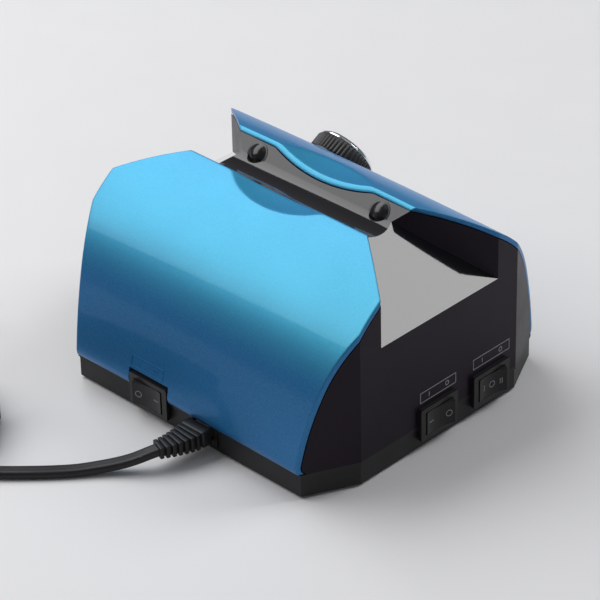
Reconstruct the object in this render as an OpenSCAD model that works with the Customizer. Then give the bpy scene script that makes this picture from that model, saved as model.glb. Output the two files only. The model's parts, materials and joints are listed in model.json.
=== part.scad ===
// Control unit of an electric nail drill.
// Millimetres, +Z up, speed knob towards -Y, mains lead towards +Y.
// The origin is on the table, under the middle of the box round housing,
// switches and knob. The flank switches put the housing itself 2 mm off it.

// Piece to draw, or all of them

/* [Body] */
// Width over the flanks
body_w = 146; // [134:1:170]
// Depth over the base tray
body_d = 133.2; // [124:0.2:150]
// Height of the shells at their upper edge, in the middle
body_h = 88.7; // [85:0.1:100]
// Height of the seam between tray and housing
seam_z = 11.5; // [10.5:0.1:14]
// Height of the tray above the table
foot_gap = 1.2; // [0.6:0.1:3]
// Width of each bevelled plan corner
corner_w = 11; // [7:0.5:16]
// Depth of each bevelled plan corner
corner_l = 22; // [16:0.5:28]
// Wall of housing and tray
wall_t = 2.4; // [1.8:0.1:3.2]
// Floor of the tray
floor_t = 2; // [1.4:0.1:2.6]
// Step of the tray wall below the seam ledge
ledge_in = 0.5; // [0.2:0.1:1.2]
// Height of the seam ledge
ledge_h = 1.2; // [0.8:0.1:2]

/* [Shells] */
// Thickness of both shells
shell_t = 2; // [1.5:0.1:2.6]
// Radius of the upper bend
brow_r = 70.7; // [62:0.1:78]
// Slope of a shell at its upper edge
brow_from = 16.5; // [12:0.5:20]
// Slope of a shell where the long face starts
brow_to = 67.3; // [63:0.1:69]
// Bulge of the long face beyond the tray
hem_out = 1.6; // [1:0.1:2.4]
// Height of the curled hem above the seam
hem_h = 4.5; // [3:0.1:5.5]
// Radius of the curled hem
hem_r = 5.3; // [4.4:0.1:7]
// Radius of the crown across the width
crown_r = 3300; // [2000:50:5000]
// Width of each finger scoop
scoop_w = 50; // [36:1:60]
// Reach of each finger scoop beyond the upper edge
scoop_run = 9; // [6:0.5:12]
// Depth of each finger scoop at the upper edge
scoop_depth = 3.5; // [2:0.1:4.5]

/* [Cradle] */
// Half width of the cradle at its foot
cradle_foot = 7.66; // [6.6:0.02:9]
// Depth of the cradle foot below the upper edge of the shells
cradle_deep = 7; // [5.5:0.1:9]
// Dip of the rounded cradle floor
cradle_dip = 1.4; // [1:0.1:2.4]
// Slope of the cradle walls
cradle_slope = 49; // [42:1:56]
// Distance from the middle to the fork of each side valley
fork_x = 40.4; // [36:0.1:46]
// Angle of the side valley walls to the cradle
fork_angle = 38; // [32:1:44]
// Depth of the side valleys at the flanks
side_deep = 30.7; // [26:0.1:37]
// Slope of the side valley floor
side_slope = 36; // [32:0.5:38]
// Diameter of the rubber bumpers
bumper_d = 8.6; // [6:0.1:9.6]
// Height of the bumper domes
bumper_dome = 1.8; // [1:0.1:2.4]
// Distance of the bumpers from the middle
bumper_x = 33.2; // [24:0.1:36]
// Depth of the bumper centres below the upper edge of the shells
bumper_deep = 5.8; // [5.2:0.1:7]
// Depth of the bumper recesses
bumper_sink = 1.2; // [0.8:0.1:1.8]

/* [Speed knob] */
// Distance of the knob from the middle
knob_x = 36.5; // [28:0.5:44]
// Tilt of the knob axis from upright
knob_tilt = 61; // [56:1:66]
// Knob diameter
knob_d = 27.4; // [20:0.1:30]
// Height of the ribbed grip above the shell
knob_h = 7.8; // [5:0.1:10]
// Number of grip ribs
knob_ribs = 48; // [36:1:60]
// Depth of the grip ribs
rib_depth = 0.45; // [0.3:0.05:0.8]
// Height of the bright rim
rim_h = 1.8; // [1:0.1:2.6]
// Potentiometer shaft diameter
shaft_d = 6; // [5:0.1:6.6]
// Potentiometer bushing diameter
bushing_d = 9; // [8.4:0.1:10]
// Potentiometer case diameter
pot_d = 16.5; // [14:0.5:20]
// Play of the shaft in its bushing
shaft_play = 0.05; // [0.03:0.01:0.09]

/* [Rocker switches] */
// Bezel length
bezel_w = 21; // [19:0.1:23]
// Bezel height
bezel_h = 14.6; // [13.6:0.1:15.4]
// Bezel thickness
bezel_t = 1.8; // [1.2:0.1:2]
// Rim of the bezel around the rocker
bezel_rim = 2.6; // [2.2:0.1:3.2]
// Depth of the switch body behind the bezel
switch_deep = 13; // [11:0.5:16]
// Tilt of a rocker from its middle position
rocker_tilt = 8; // [5:0.5:10]
// Gap around a rocker
rocker_gap = 0.25; // [0.15:0.05:0.4]
// Diameter of the rocker pivots
pivot_d = 2.4; // [1.8:0.1:3]
// Place of the mode switch along the flank
mode_y = 2.2; // [-2:0.1:6]
// Place of the direction switch along the flank
direction_y = -28.4; // [-32:0.1:-25]
// Height of both flank switches
flank_z = 12.2; // [11.8:0.1:14]
// Place of the power switch across the rear
power_x = 19.7; // [16:0.1:26]
// Height of the power switch
power_z = 11; // [10.8:0.1:12.4]

/* [Mains lead] */
// Place of the mains inlet across the rear
inlet_x = -9; // [-16:0.1:-6]
// Height of the mains inlet
inlet_z = 8.1; // [8:0.1:8.4]
// Width of the lead connector
plug_w = 12.7; // [11.6:0.1:13.2]
// Height of the lead connector
plug_h = 7.2; // [6.4:0.1:7.4]
// Length of the smooth part of the connector
plug_block = 5.4; // [4:0.1:7]
// Number of ribs on the strain relief
relief_ribs = 7; // [5:1:8]
// Spacing of the strain relief ribs
relief_pitch = 2.3; // [2:0.1:2.6]
// Bend of the strain relief towards the cord
relief_bend = 22; // [0:1:30]
// Width of the flat cord
cord_w = 6; // [5:0.1:6.4]
// Thickness of the flat cord
cord_t = 3.7; // [3:0.1:4]

/* [Front sockets] */
// Height of the sockets and the lamp on the long face
socket_high = 29.58; // [26:0.02:33]
// Distance of the handpiece socket from the flank
handpiece_side = 31; // [25:0.5:35]
// Place of the pedal socket
pedal_x = -20; // [-24:0.5:-14]
// Bore of the handpiece socket
handpiece_bore = 6.4; // [5:0.1:7]
// Bore of the pedal socket
pedal_bore = 3.6; // [3:0.1:5]
// Thread diameter of both sockets
socket_thread = 10; // [9:0.1:11.5]
// Length of the socket bodies behind the cover
socket_l = 12; // [10:0.5:14]
// Wall of the socket bodies
socket_wall = 2; // [1.5:0.1:2.5]
// Closed end of the socket bodies
socket_end = 1.5; // [1:0.1:3]
// Power lamp diameter
lamp_d = 5; // [3:0.1:6]
// Place of the power lamp
lamp_x = 8; // [-4:0.5:12]

/* [Inside] */
// Height of the circuit boards above the tray floor
board_lift = 5; // [4:0.1:8]
// Thickness of the circuit boards
board_t = 1.6; // [1.2:0.1:2]
// Width of both boards
board_w = 84; // [80:1:90]
// Depth of the supply board
supply_l = 36; // [34:1:40]
// Depth of the control board
control_l = 34; // [32:1:38]
// Width of the transformer
trafo_w = 36; // [30:1:40]
// Room beside the transformer on its board
trafo_room = 12; // [10:0.5:16]
// Height of the transformer
trafo_h = 28; // [24:1:34]
// Heat sink width
sink_w = 34; // [26:1:40]
// Heat sink height
sink_h = 22; // [16:1:26]
// Number of heat sink fins
sink_fins = 7; // [4:1:9]
// Length of the heat sink fins
fin_l = 8; // [6:0.5:10]
// Thickness of the heat sink fins
fin_t = 1.4; // [1:0.1:2]
// Width of a power transistor
transistor_w = 10; // [8:0.5:11]
// Height of a power transistor
transistor_h = 15; // [13:0.5:17]
// Thickness of a power transistor
transistor_t = 4.5; // [3:0.1:5]
// Length of the fuse
fuse_l = 20; // [18:0.5:22]
// Diameter of the fuse
fuse_d = 5; // [4:0.1:6]
// Diameter of the large capacitors
cap_d = 13; // [10:0.5:14]
// Height of the large capacitors
cap_h = 24; // [16:1:30]
// Grip of the base screws in the housing
screw_grip = 10; // [8:0.5:12]
// Diameter of the base screws
screw_d = 3; // [2.5:0.1:3.5]
// Gap between rubber feet and base screws
foot_in = 4; // [3:0.5:6]
// Length of the vent slots
vent_l = 24; // [18:1:30]
// Width of the vent slots
vent_w = 2.5; // [2:0.1:3]
// Spacing of the vent slots
vent_pitch = 7; // [5.5:0.1:7.5]
// Diameter of the rubber feet
foot_d = 14; // [10:0.5:16]
// Height of the rubber feet
foot_h = 2.6; // [2.2:0.1:3.4]

/* [Hidden] */

far = 400;
eps = 0.01;
half_w = body_w / 2;
half_d = body_d / 2;
cradle_z = body_h - cradle_deep;
side_z = body_h - side_deep;
bumper_z = body_h - bumper_deep;
over_d = half_d + 8;
shell_gap = 0.25;
seam_gap = 0.3;
seat_gap = 0.15;
under_shell = shell_t + shell_gap;
circle_fn = 64;
middle_x = 2;

module placed() {
    translate([middle_x, 0, 0]) children();
}

// ---- outline of the shells, seen from the side ----
// The upper edge lies where the cradle wall leaves the shell.
edge_y = cradle_foot + (body_h - cradle_z) / tan(cradle_slope);
brow_c = [edge_y - brow_r * sin(brow_from), body_h - brow_r * cos(brow_from)];
// The brow starts inside the cradle, so both halves of the outline meet there.
brow_start = -5;
brow_end = brow_c + brow_r * [sin(brow_to), cos(brow_to)];
hem_top = [half_d + hem_out, seam_z + hem_h];
face_span = norm(hem_top - brow_end);
face_angle = atan2(brow_end.y - hem_top.y, hem_top.x - brow_end.x);
face_to = 2 * face_angle - brow_to;
face_r = face_span / (2 * sin(face_angle - brow_to));
face_c = brow_end - face_r * [sin(brow_to), cos(brow_to)];
socket_tilt = acos((socket_high - face_c.y) / face_r);
handpiece_x = handpiece_side - half_w;
hem_c = hem_top - hem_r * [sin(face_to), cos(face_to)];
hem_to = face_to + 95;
crown_axis = body_h - crown_r;
crown_angle = 2 * asin(half_w / crown_r) + 2;

// A circular sector between two slopes, in the [z, y] plane of the crown revolve.
module sector(centre, radius, from, to) {
    reach = radius * 1.6;
    intersection() {
        translate([centre.y, centre.x]) circle(r = radius, $fn = 360);
        polygon([
            [centre.y, centre.x],
            [centre.y + reach * cos(from), centre.x + reach * sin(from)],
            [centre.y + reach * cos(to), centre.x + reach * sin(to)]
        ]);
    }
}

function on_arc(centre, radius, slope) =
    [centre.y + radius * cos(slope), centre.x + radius * sin(slope)];

// Half of the outline, set in by a distance.
module half_outline(inset) {
    sector(brow_c, brow_r - inset, brow_start, brow_to);
    sector(face_c, face_r - inset, brow_to, face_to);
    sector(hem_c, hem_r - inset, face_to, hem_to);
    polygon([
        on_arc(brow_c, brow_r - inset, brow_start),
        on_arc(brow_c, brow_r - inset, brow_to),
        on_arc(face_c, face_r - inset, face_to),
        on_arc(hem_c, hem_r - inset, hem_to),
        [-4, hem_c.x - hem_r],
        [-4, -1],
        [on_arc(brow_c, brow_r - inset, brow_start).x, -1]
    ]);
}

// The crowned body, front and rear, set in by a distance.
module crowned(inset) {
    translate([0, 0, crown_axis])
        rotate([0, -90, -90])
            rotate([0, 0, -crown_angle / 2])
                rotate_extrude(angle = crown_angle, $fn = 720)
                    translate([-crown_axis, 0])
                        for (side = [0, 1]) mirror([0, side]) half_outline(inset);
}

// ---- finger scoops ----
scoop_rho = (scoop_w * scoop_w / 4 + scoop_run * scoop_run) / (2 * scoop_run);
scoop_u = scoop_run - scoop_rho;
scoop_lift = (scoop_rho * scoop_rho - scoop_u * scoop_u - scoop_depth * scoop_depth)
    / (2 * scoop_depth);
scoop_r = sqrt(scoop_lift * scoop_lift + scoop_rho * scoop_rho);
scoop_slope = brow_from + scoop_run / brow_r * 90 / PI;
scoop_y = edge_y + scoop_u * cos(scoop_slope) + scoop_lift * sin(scoop_slope);
scoop_z = body_h - scoop_u * sin(scoop_slope) + scoop_lift * cos(scoop_slope);

module scoop(side, grow) {
    translate([0, side * scoop_y, scoop_z]) sphere(r = scoop_r + grow, $fn = 240);
}

// ---- plan of the body ----
corner_y = half_d - corner_l;
corner_len = norm([corner_w, corner_l]);

function corner_x(y, inset) =
    half_w - (y - corner_y) * corner_w / corner_l - inset * corner_len / corner_l;

function corner_from(inset) =
    corner_y - inset * (corner_len - corner_l) / corner_w;

function quarter(inset, reach, sx, sy) = sx * sy > 0
    ? [[sx * (half_w - inset), sy * corner_from(inset)], [sx * corner_x(reach, inset), sy * reach]]
    : [[sx * corner_x(reach, inset), sy * reach], [sx * (half_w - inset), sy * corner_from(inset)]];

module plan(inset, reach) {
    polygon(concat(
        quarter(inset, reach, 1, 1), quarter(inset, reach, -1, 1),
        quarter(inset, reach, -1, -1), quarter(inset, reach, 1, -1)
    ));
}

module plan_block(inset, reach, z0, z1) {
    translate([0, 0, z0]) linear_extrude(z1 - z0) plan(inset, reach);
}

// ---- cradle and side valleys, grown by a wall ----
dip_r = (cradle_foot * cradle_foot + cradle_dip * cradle_dip) / (2 * cradle_dip);
fork_z = side_z + (half_w - fork_x) * tan(side_slope);
fork_y = cradle_foot + (fork_z - cradle_z) / tan(cradle_slope);
fork_tip = fork_x - fork_y / tan(fork_angle);
sky = body_h + 15;

module cradle_section(grow) {
    foot = cradle_foot + grow * tan(cradle_slope / 2);
    low = cradle_z - grow;
    top = foot + (sky - low) / tan(cradle_slope);
    polygon([[-foot, low], [foot, low], [top, sky], [-top, sky]]);
    intersection() {
        translate([0, cradle_z - cradle_dip + dip_r]) circle(r = dip_r + grow, $fn = 96);
        translate([-foot, low - dip_r]) square([2 * foot, dip_r + eps]);
    }
}

module valley(grow) {
    rotate([90, 0, 90])
        translate([0, 0, -half_w - 10])
            linear_extrude(2 * half_w + 20) cradle_section(grow);
    tip = fork_tip - grow / sin(fork_angle);
    reach = half_w + 20;
    floor_z = side_z - grow / cos(side_slope);
    for (side = [0, 1])
        mirror([side, 0, 0])
            intersection() {
                linear_extrude(sky)
                    polygon([
                        [tip, 0],
                        [reach, (reach - tip) * tan(fork_angle)],
                        [reach, -(reach - tip) * tan(fork_angle)]
                    ]);
                rotate([90, 0, 0])
                    translate([0, 0, -half_d])
                        linear_extrude(2 * half_d)
                            polygon([
                                [tip, floor_z + (half_w - tip) * tan(side_slope)],
                                [reach, floor_z + (half_w - reach) * tan(side_slope)],
                                [reach, sky],
                                [tip, sky]
                            ]);
            }
}

// ---- places on the front shell, by the slope of its surface ----
// Local +Z points out of the shell, and z = 0 is its surface.
function face_y(tilt) = tilt < brow_to
    ? brow_c.x + brow_r * sin(tilt)
    : face_c.x + face_r * sin(tilt);
function face_z(tilt) = tilt < brow_to
    ? brow_c.y + brow_r * cos(tilt)
    : face_c.y + face_r * cos(tilt);

module on_front(x, tilt) {
    translate([0, 0, crown_axis])
        rotate([0, asin(x / (face_z(tilt) - crown_axis)), 0])
            translate([0, -face_y(tilt), face_z(tilt) - crown_axis])
                rotate([tilt, 0, 0]) children();
}

// A round pad on the housing, flat on both sides, that carries a threaded part.
pad_top = -under_shell - 0.6;
pad_back = pad_top - wall_t;

module pad_solid(r) {
    translate([0, 0, pad_back]) cylinder(r = r, h = pad_top - pad_back, $fn = circle_fn);
}

module pad_clear(r) {
    translate([0, 0, pad_top]) cylinder(r = r, h = 12, $fn = circle_fn);
}

module tube(r_out, r_in, h) {
    difference() {
        cylinder(r = r_out, h = h, $fn = circle_fn);
        translate([0, 0, -1]) cylinder(r = r_in, h = h + 2, $fn = circle_fn);
    }
}

module round_rect(w, h, r) {
    square([w - 2 * r, h], center = true);
    square([w, h - 2 * r], center = true);
    for (sx = [-1, 1], sy = [-1, 1])
        translate([sx * (w / 2 - r), sy * (h / 2 - r)]) circle(r = r, $fn = 24);
}

// ---- rocker switches ----
// Local x runs to the right as seen from outside, y up and z outward.
opening_w = bezel_w - 2 * bezel_rim;
opening_h = bezel_h - 2 * bezel_rim + 1.2;
body_sw = bezel_w - 2;
body_sh = bezel_h - 2;
pivot_r = pivot_d / 2;
rocker_r = opening_w / 2 - rocker_gap;
rocker_h = opening_h - 2 * rocker_gap;
well_deep = rocker_r + 0.4;

module at_power() {
    translate([power_x, half_d, power_z]) rotate([90, 0, 180]) children();
}

module at_mode() {
    translate([-half_w, mode_y, flank_z]) rotate([90, 0, -90]) children();
}

module at_direction() {
    translate([-half_w, direction_y, flank_z]) rotate([90, 0, -90]) children();
}

module switch_hole() {
    translate([0, 0, -wall_t * 4])
        linear_extrude(wall_t * 4 + 1)
            square([body_sw + 2 * seat_gap, body_sh + 2 * seat_gap], center = true);
}

module switch_body() {
    difference() {
        union() {
            linear_extrude(bezel_t) round_rect(bezel_w, bezel_h, 0.8);
            translate([0, 0, -switch_deep])
                linear_extrude(switch_deep + eps) square([body_sw, body_sh], center = true);
        }
        translate([0, 0, -well_deep + bezel_t])
            linear_extrude(well_deep + 1) square([opening_w, opening_h], center = true);
        rotate([90, 0, 0])
            cylinder(r = pivot_r + shaft_play, h = body_sh - 1.6, center = true, $fn = 32);
    }
}

// The rocker turns about local y, with a hollow finger face and round ends.
module rocker() {
    hollow_r = 24;
    rotate([90, 0, 0])
        linear_extrude(rocker_h, center = true)
            difference() {
                circle(r = rocker_r, $fn = 96);
                translate([0, bezel_t + 0.3 + hollow_r]) circle(r = hollow_r, $fn = 180);
                translate([-rocker_r - 1, -2 * rocker_r - 3.4])
                    square([2 * rocker_r + 2, 2 * rocker_r]);
            }
    rotate([90, 0, 0])
        cylinder(r = pivot_r, h = body_sh - 1.6 - 2 * seat_gap, center = true, $fn = 32);
}

// Rest positions: a positive turn presses the right end.
module turned(angle) {
    rotate([0, angle, 0]) children();
}

module terminals() {
    for (x = [-1, 0, 1])
        translate([x * body_sw * 0.32, 0, -switch_deep - 3])
            cube([0.8, 4.8, 6], center = true);
}

// ---- switch and inlet seats in the rear wall ----
inlet_w = plug_w + 3.4;
inlet_h = plug_h + 2.2;
inlet_deep = 20;
rear_pad_top = power_z + bezel_h / 2 + 1;

module at_inlet() {
    translate([inlet_x, half_d, inlet_z]) rotate([90, 0, 180]) children();
}

module inlet_seat() {
    translate([0, 0, -inlet_deep])
        linear_extrude(inlet_deep + 0.2 + seat_gap)
            square([inlet_w + 2 * seat_gap, inlet_h + 2 * seat_gap], center = true);
}

module inlet_hole() {
    translate([0, 0, -wall_t * 4])
        linear_extrude(wall_t * 4 + 1)
            square([inlet_w + 2 * seat_gap, inlet_h + 2 * seat_gap], center = true);
}

// Figure-of-eight outline of the connector nose.
nose_w = plug_w - 0.6;
nose_h = plug_h - 0.6;
pin_gap = nose_w - nose_h;
pin_d = 2.4;
nose_len = 9;

module eight(grow) {
    for (side = [-1, 1])
        translate([side * pin_gap / 2, 0]) circle(d = nose_h + 2 * grow, $fn = 48);
    square([pin_gap, nose_h - 1.2 + 2 * grow], center = true);
}

// ---- screw posts and boards ----
post_x = half_w - 17;
post_y = half_d - 18;
post_d = screw_d + 5;
board_z = foot_gap + floor_t + board_lift;
board_top = board_z + board_t;
supply_y = 4 + supply_l / 2;
control_y = -4 - control_l / 2;
board_x = 7;
hole_in = 4;

module at_posts() {
    for (sx = [-1, 1], sy = [-1, 1]) translate([sx * post_x, sy * post_y, 0]) children();
}

module at_board_holes() {
    for (sx = [-1, 1], row = [[supply_y, supply_l], [control_y, control_l]], sy = [-1, 1])
        translate([board_x + sx * (board_w / 2 - hole_in), row[0] + sy * (row[1] / 2 - hole_in), 0])
            children();
}

module board(y, length) {
    difference() {
        translate([board_x - board_w / 2, y - length / 2, board_z])
            cube([board_w, length, board_t]);
        at_board_holes() cylinder(d = screw_d + 0.4, h = far, $fn = 24);
    }
}

// ---- housing pieces ----
module base_tray() {
    placed() color([0.06, 0.06, 0.07])
    difference() {
        union() {
            difference() {
                union() {
                    plan_block(ledge_in, half_d - ledge_in, foot_gap, seam_z);
                    plan_block(0, half_d, seam_z - ledge_h, seam_z);
                }
                plan_block(wall_t, half_d - wall_t, foot_gap + floor_t, seam_z + 1);
            }
            at_board_holes()
                translate([0, 0, foot_gap]) cylinder(d = screw_d + 3.4, h = board_z - foot_gap, $fn = 32);
            at_posts()
                translate([0, 0, foot_gap]) cylinder(d = post_d, h = seam_z - foot_gap, $fn = 32);
        }
        at_board_holes()
            translate([0, 0, foot_gap + 1]) cylinder(d = screw_d + 2 * seat_gap, h = far, $fn = 24);
        at_posts() {
            cylinder(d = screw_d + 0.6, h = far, $fn = 24);
            cylinder(d = screw_d * 2, h = foot_gap + floor_t + 1, $fn = 32);
        }
        at_feet() translate([0, 0, -1]) cylinder(d = foot_d + 0.4, h = foot_h + 1, $fn = 48);
        for (i = [-5 : 5])
            translate([i * vent_pitch - vent_w / 2, -vent_l / 2, 0])
                cube([vent_w, vent_l, foot_gap + floor_t + 1]);
        at_power() switch_hole();
        at_mode() switch_hole();
        at_direction() switch_hole();
        at_inlet() inlet_hole();
    }
}

module housing_form() {
    difference() {
        intersection() {
            crowned(under_shell);
            plan_block(0, over_d, seam_z, sky);
        }
        scoop(1, under_shell);
        scoop(-1, under_shell);
    }
}

module housing_room() {
    difference() {
        intersection() {
            crowned(under_shell + wall_t);
            plan_block(wall_t, over_d, seam_z - 1, sky);
        }
        scoop(1, under_shell + wall_t);
        scoop(-1, under_shell + wall_t);
        valley(wall_t);
    }
}

module rear_pad() {
    translate([power_x - bezel_w / 2, half_d - 8, seam_z])
        cube([bezel_w, 8, rear_pad_top - seam_z]);
}

module housing() {
    placed() color([0.09, 0.08, 0.1])
    difference() {
        union() {
            difference() {
                housing_form();
                difference() {
                    housing_room();
                    at_posts() cylinder(d = post_d, h = far, $fn = 32);
                    on_front(knob_x, knob_tilt) pad_solid(pot_d / 2 + 2);
                    on_front(handpiece_x, socket_tilt) pad_solid(socket_thread / 2 + 4);
                    on_front(pedal_x, socket_tilt) pad_solid(socket_thread / 2 + 4);
                    on_front(lamp_x, socket_tilt) pad_solid(lamp_d / 2 + 2);
                }
            }
            rear_pad();
        }
        valley(0);
        at_posts() translate([0, 0, seam_z - 1]) cylinder(d = screw_d + 2 * seat_gap, h = 16, $fn = 24);
        on_front(knob_x, knob_tilt) {
            pad_clear(nut_r + 1);
            translate([0, 0, pad_back - 1]) cylinder(d = bushing_d + 2 * seat_gap, h = 9, $fn = 48);
        }
        for (x = [handpiece_x, pedal_x])
            on_front(x, socket_tilt) {
                pad_clear(socket_nut_r + 1);
                translate([0, 0, pad_back - 1])
                    cylinder(d = socket_thread + 2 * seat_gap, h = 9, $fn = 48);
            }
        on_front(lamp_x, socket_tilt)
            translate([0, 0, pad_back - 1]) cylinder(d = lamp_d + 2 * seat_gap, h = 9, $fn = 48);
        at_power() switch_hole();
        at_mode() switch_hole();
        at_direction() switch_hole();
        at_inlet() inlet_hole();
        for (side = [-1, 1], x = [-1, 1]) at_bumper(side, x) bumper_seat(seat_gap);
    }
}

// The front or rear half of the plan, up to the sky.
module half_block(side, inset, low) {
    intersection() {
        plan_block(inset, over_d, low, sky);
        translate([-half_w - 5, side > 0 ? cradle_foot : -over_d - 5 - cradle_foot, 0])
            cube([body_w + 10, over_d + 5, sky]);
    }
}

module shell_form(side) {
    difference() {
        difference() {
            intersection() {
                crowned(0);
                half_block(side, 0, seam_z + seam_gap);
            }
            scoop(side, 0);
            valley(0);
        }
        difference() {
            intersection() {
                crowned(shell_t);
                half_block(side, -1, seam_z - 1);
            }
            scoop(side, shell_t);
        }
    }
}

module rear_shell() {
    placed() color([0.1, 0.5, 0.85])
    difference() {
        shell_form(1);
        translate([power_x - bezel_w / 2 - 0.5, half_d - 8, 0])
            cube([bezel_w + 1, 16, rear_pad_top + 0.5]);
        at_inlet() inlet_seat();
    }
}

module front_shell() {
    placed() color([0.1, 0.5, 0.85])
    difference() {
        shell_form(-1);
        on_front(knob_x, knob_tilt)
            translate([0, 0, -9]) cylinder(r = collar_r + seat_gap, h = 18, $fn = circle_fn);
        for (x = [handpiece_x, pedal_x])
            on_front(x, socket_tilt)
                translate([0, 0, -6]) cylinder(r = socket_nut_r + 0.6, h = 12, $fn = circle_fn);
        on_front(lamp_x, socket_tilt)
            translate([0, 0, -6]) cylinder(d = lamp_d + 2 * seat_gap, h = 12, $fn = 48);
    }
}

// ---- cradle bumpers ----
module at_bumper(side, x) {
    y = cradle_foot + (bumper_z - cradle_z) / tan(cradle_slope);
    translate([x * bumper_x, side * y, bumper_z])
        rotate([side * cradle_slope, 0, 0]) children();
}

module bumper_seat(grow) {
    translate([0, 0, -bumper_sink]) cylinder(d = bumper_d + 2 * grow, h = bumper_sink + 9, $fn = 48);
}

module cradle_bumpers() {
    cap_r = (bumper_d * bumper_d / 4 + bumper_dome * bumper_dome) / (2 * bumper_dome);
    placed() color([0.04, 0.04, 0.04])
    for (side = [-1, 1], x = [-1, 1])
        at_bumper(side, x)
            intersection() {
                translate([0, 0, -bumper_sink])
                    cylinder(d = bumper_d, h = bumper_sink + bumper_dome, $fn = 48);
                translate([0, 0, bumper_dome - cap_r]) sphere(r = cap_r, $fn = 96);
            }
}

// ---- speed knob ----
knob_r = knob_d / 2;
collar_r = knob_r + 0.9;
nut_r = bushing_d / 2 + 3;
socket_nut_r = socket_thread / 2 + 2.4;
knob_low = 0.9;
nut_h = 1.6;
shaft_top = knob_h - 1.4;
cap_well = 1.2;

module knob_collar() {
    placed() color([0.75, 0.76, 0.78])
    on_front(knob_x, knob_tilt)
        translate([0, 0, -under_shell]) tube(collar_r, collar_r - 2.4, under_shell + 0.5);
}

module knob_grip() {
    cavity_r = knob_r - 3;
    placed() color([0.05, 0.05, 0.05])
    on_front(knob_x, knob_tilt)
        difference() {
            translate([0, 0, knob_low])
                linear_extrude(knob_h - knob_low)
                    polygon([
                        for (i = [0 : 2 * knob_ribs - 1])
                            (knob_r - (i % 2) * rib_depth)
                                * [cos(i * 180 / knob_ribs), sin(i * 180 / knob_ribs)]
                    ]);
            translate([0, 0, knob_low - 1]) tube(cavity_r, shaft_d / 2 + 2, 2.6);
            translate([0, 0, -1]) cylinder(d = shaft_d + 2 * shaft_fit, h = shaft_top + 1.2, $fn = 48);
            translate([0, 0, knob_h - cap_well]) cylinder(r = cap_r, h = 3, $fn = circle_fn);
        }
}

shaft_fit = 0.02;
cap_r = knob_r - 3.2;

module knob_rim() {
    placed() color([0.9, 0.9, 0.92])
    on_front(knob_x, knob_tilt)
        translate([0, 0, knob_h])
            rotate_extrude($fn = 96)
                polygon([
                    [cap_r, 0],
                    [knob_r - 0.3, 0],
                    [knob_r - 0.3, rim_h * 0.35],
                    [knob_r - 0.3 - rim_h * 0.55, rim_h],
                    [cap_r, rim_h]
                ]);
}

module knob_cap() {
    placed() color([0.12, 0.12, 0.13])
    on_front(knob_x, knob_tilt)
        difference() {
            translate([0, 0, knob_h - cap_well])
                cylinder(r = cap_r - seat_gap, h = cap_well + rim_h - 0.3, $fn = circle_fn);
            translate([-0.5, cap_r * 0.35, knob_h + rim_h - 0.8]) cube([1, cap_r * 0.5, 2]);
        }
}

module pot_shaft() {
    placed() color([0.75, 0.75, 0.76])
    on_front(knob_x, knob_tilt)
        translate([0, 0, pad_back - 6])
            cylinder(d = shaft_d, h = shaft_top - pad_back + 6, $fn = 48);
}

module speed_pot() {
    placed() color([0.55, 0.57, 0.6])
    on_front(knob_x, knob_tilt)
        difference() {
            union() {
                translate([0, 0, pad_back - 9]) cylinder(d = pot_d, h = 9, $fn = circle_fn);
                translate([0, 0, pad_back - eps])
                    cylinder(d = bushing_d, h = pad_top - pad_back + nut_h + 0.4, $fn = 48);
                translate([-6, -pot_d / 2 - 5, pad_back - 6]) cube([12, pot_d / 2, 1.6]);
            }
            translate([0, 0, pad_back - 6.4])
                cylinder(d = shaft_d + 2 * shaft_play, h = far, $fn = 48);
        }
}

module pot_nut() {
    placed() color([0.7, 0.7, 0.72])
    on_front(knob_x, knob_tilt)
        translate([0, 0, pad_top])
            difference() {
                cylinder(r = nut_r, h = nut_h, $fn = 6);
                translate([0, 0, -1]) cylinder(d = bushing_d + 0.1, h = 5, $fn = 48);
            }
}

// ---- switches ----
module power_switch() {
    placed() color([0.05, 0.05, 0.05]) at_power() switch_body();
}

module power_rocker() {
    placed() color([0.07, 0.07, 0.07]) at_power() turned(rocker_tilt) rocker();
}

module mode_switch() {
    placed() color([0.05, 0.05, 0.05]) at_mode() switch_body();
}

module mode_rocker() {
    placed() color([0.07, 0.07, 0.07]) at_mode() turned(-rocker_tilt) rocker();
}

module direction_switch() {
    placed() color([0.05, 0.05, 0.05]) at_direction() switch_body();
}

module direction_rocker() {
    placed() color([0.07, 0.07, 0.07]) at_direction() turned(-rocker_tilt) rocker();
}

module switch_terminals() {
    placed() color([0.8, 0.65, 0.35]) {
        at_power() terminals();
        at_mode() terminals();
        at_direction() terminals();
    }
}

// ---- mains inlet and lead connector ----
module mains_inlet() {
    placed() color([0.06, 0.06, 0.06])
    at_inlet()
        difference() {
            translate([0, 0, -inlet_deep])
                linear_extrude(inlet_deep + 0.2) square([inlet_w, inlet_h], center = true);
            translate([0, 0, -nose_len - 0.6]) linear_extrude(far) eight(0.35);
            for (side = [-1, 1])
                translate([side * pin_gap / 2, 0, -inlet_deep - 1])
                    cylinder(d = pin_d, h = far, $fn = 32);
        }
}

module inlet_pins() {
    placed() color([0.85, 0.7, 0.4])
    at_inlet()
        for (side = [-1, 1])
            translate([side * pin_gap / 2, 0, -inlet_deep - 4])
                cylinder(d = pin_d - 0.02, h = inlet_deep - 1 + 3, $fn = 32);
}

relief_len = relief_ribs * relief_pitch;
plug_gap = 0.5;

// A place along the bent strain relief, in the inlet's own axes.
module along_relief(share) {
    turn = max(relief_bend, 0.5) * share;
    bend_r = relief_len * 180 / PI / max(relief_bend, 0.5);
    translate([-bend_r * (1 - cos(turn)), 0, plug_gap + plug_block + bend_r * sin(turn)])
        rotate([0, -turn, 0]) children();
}

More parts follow.
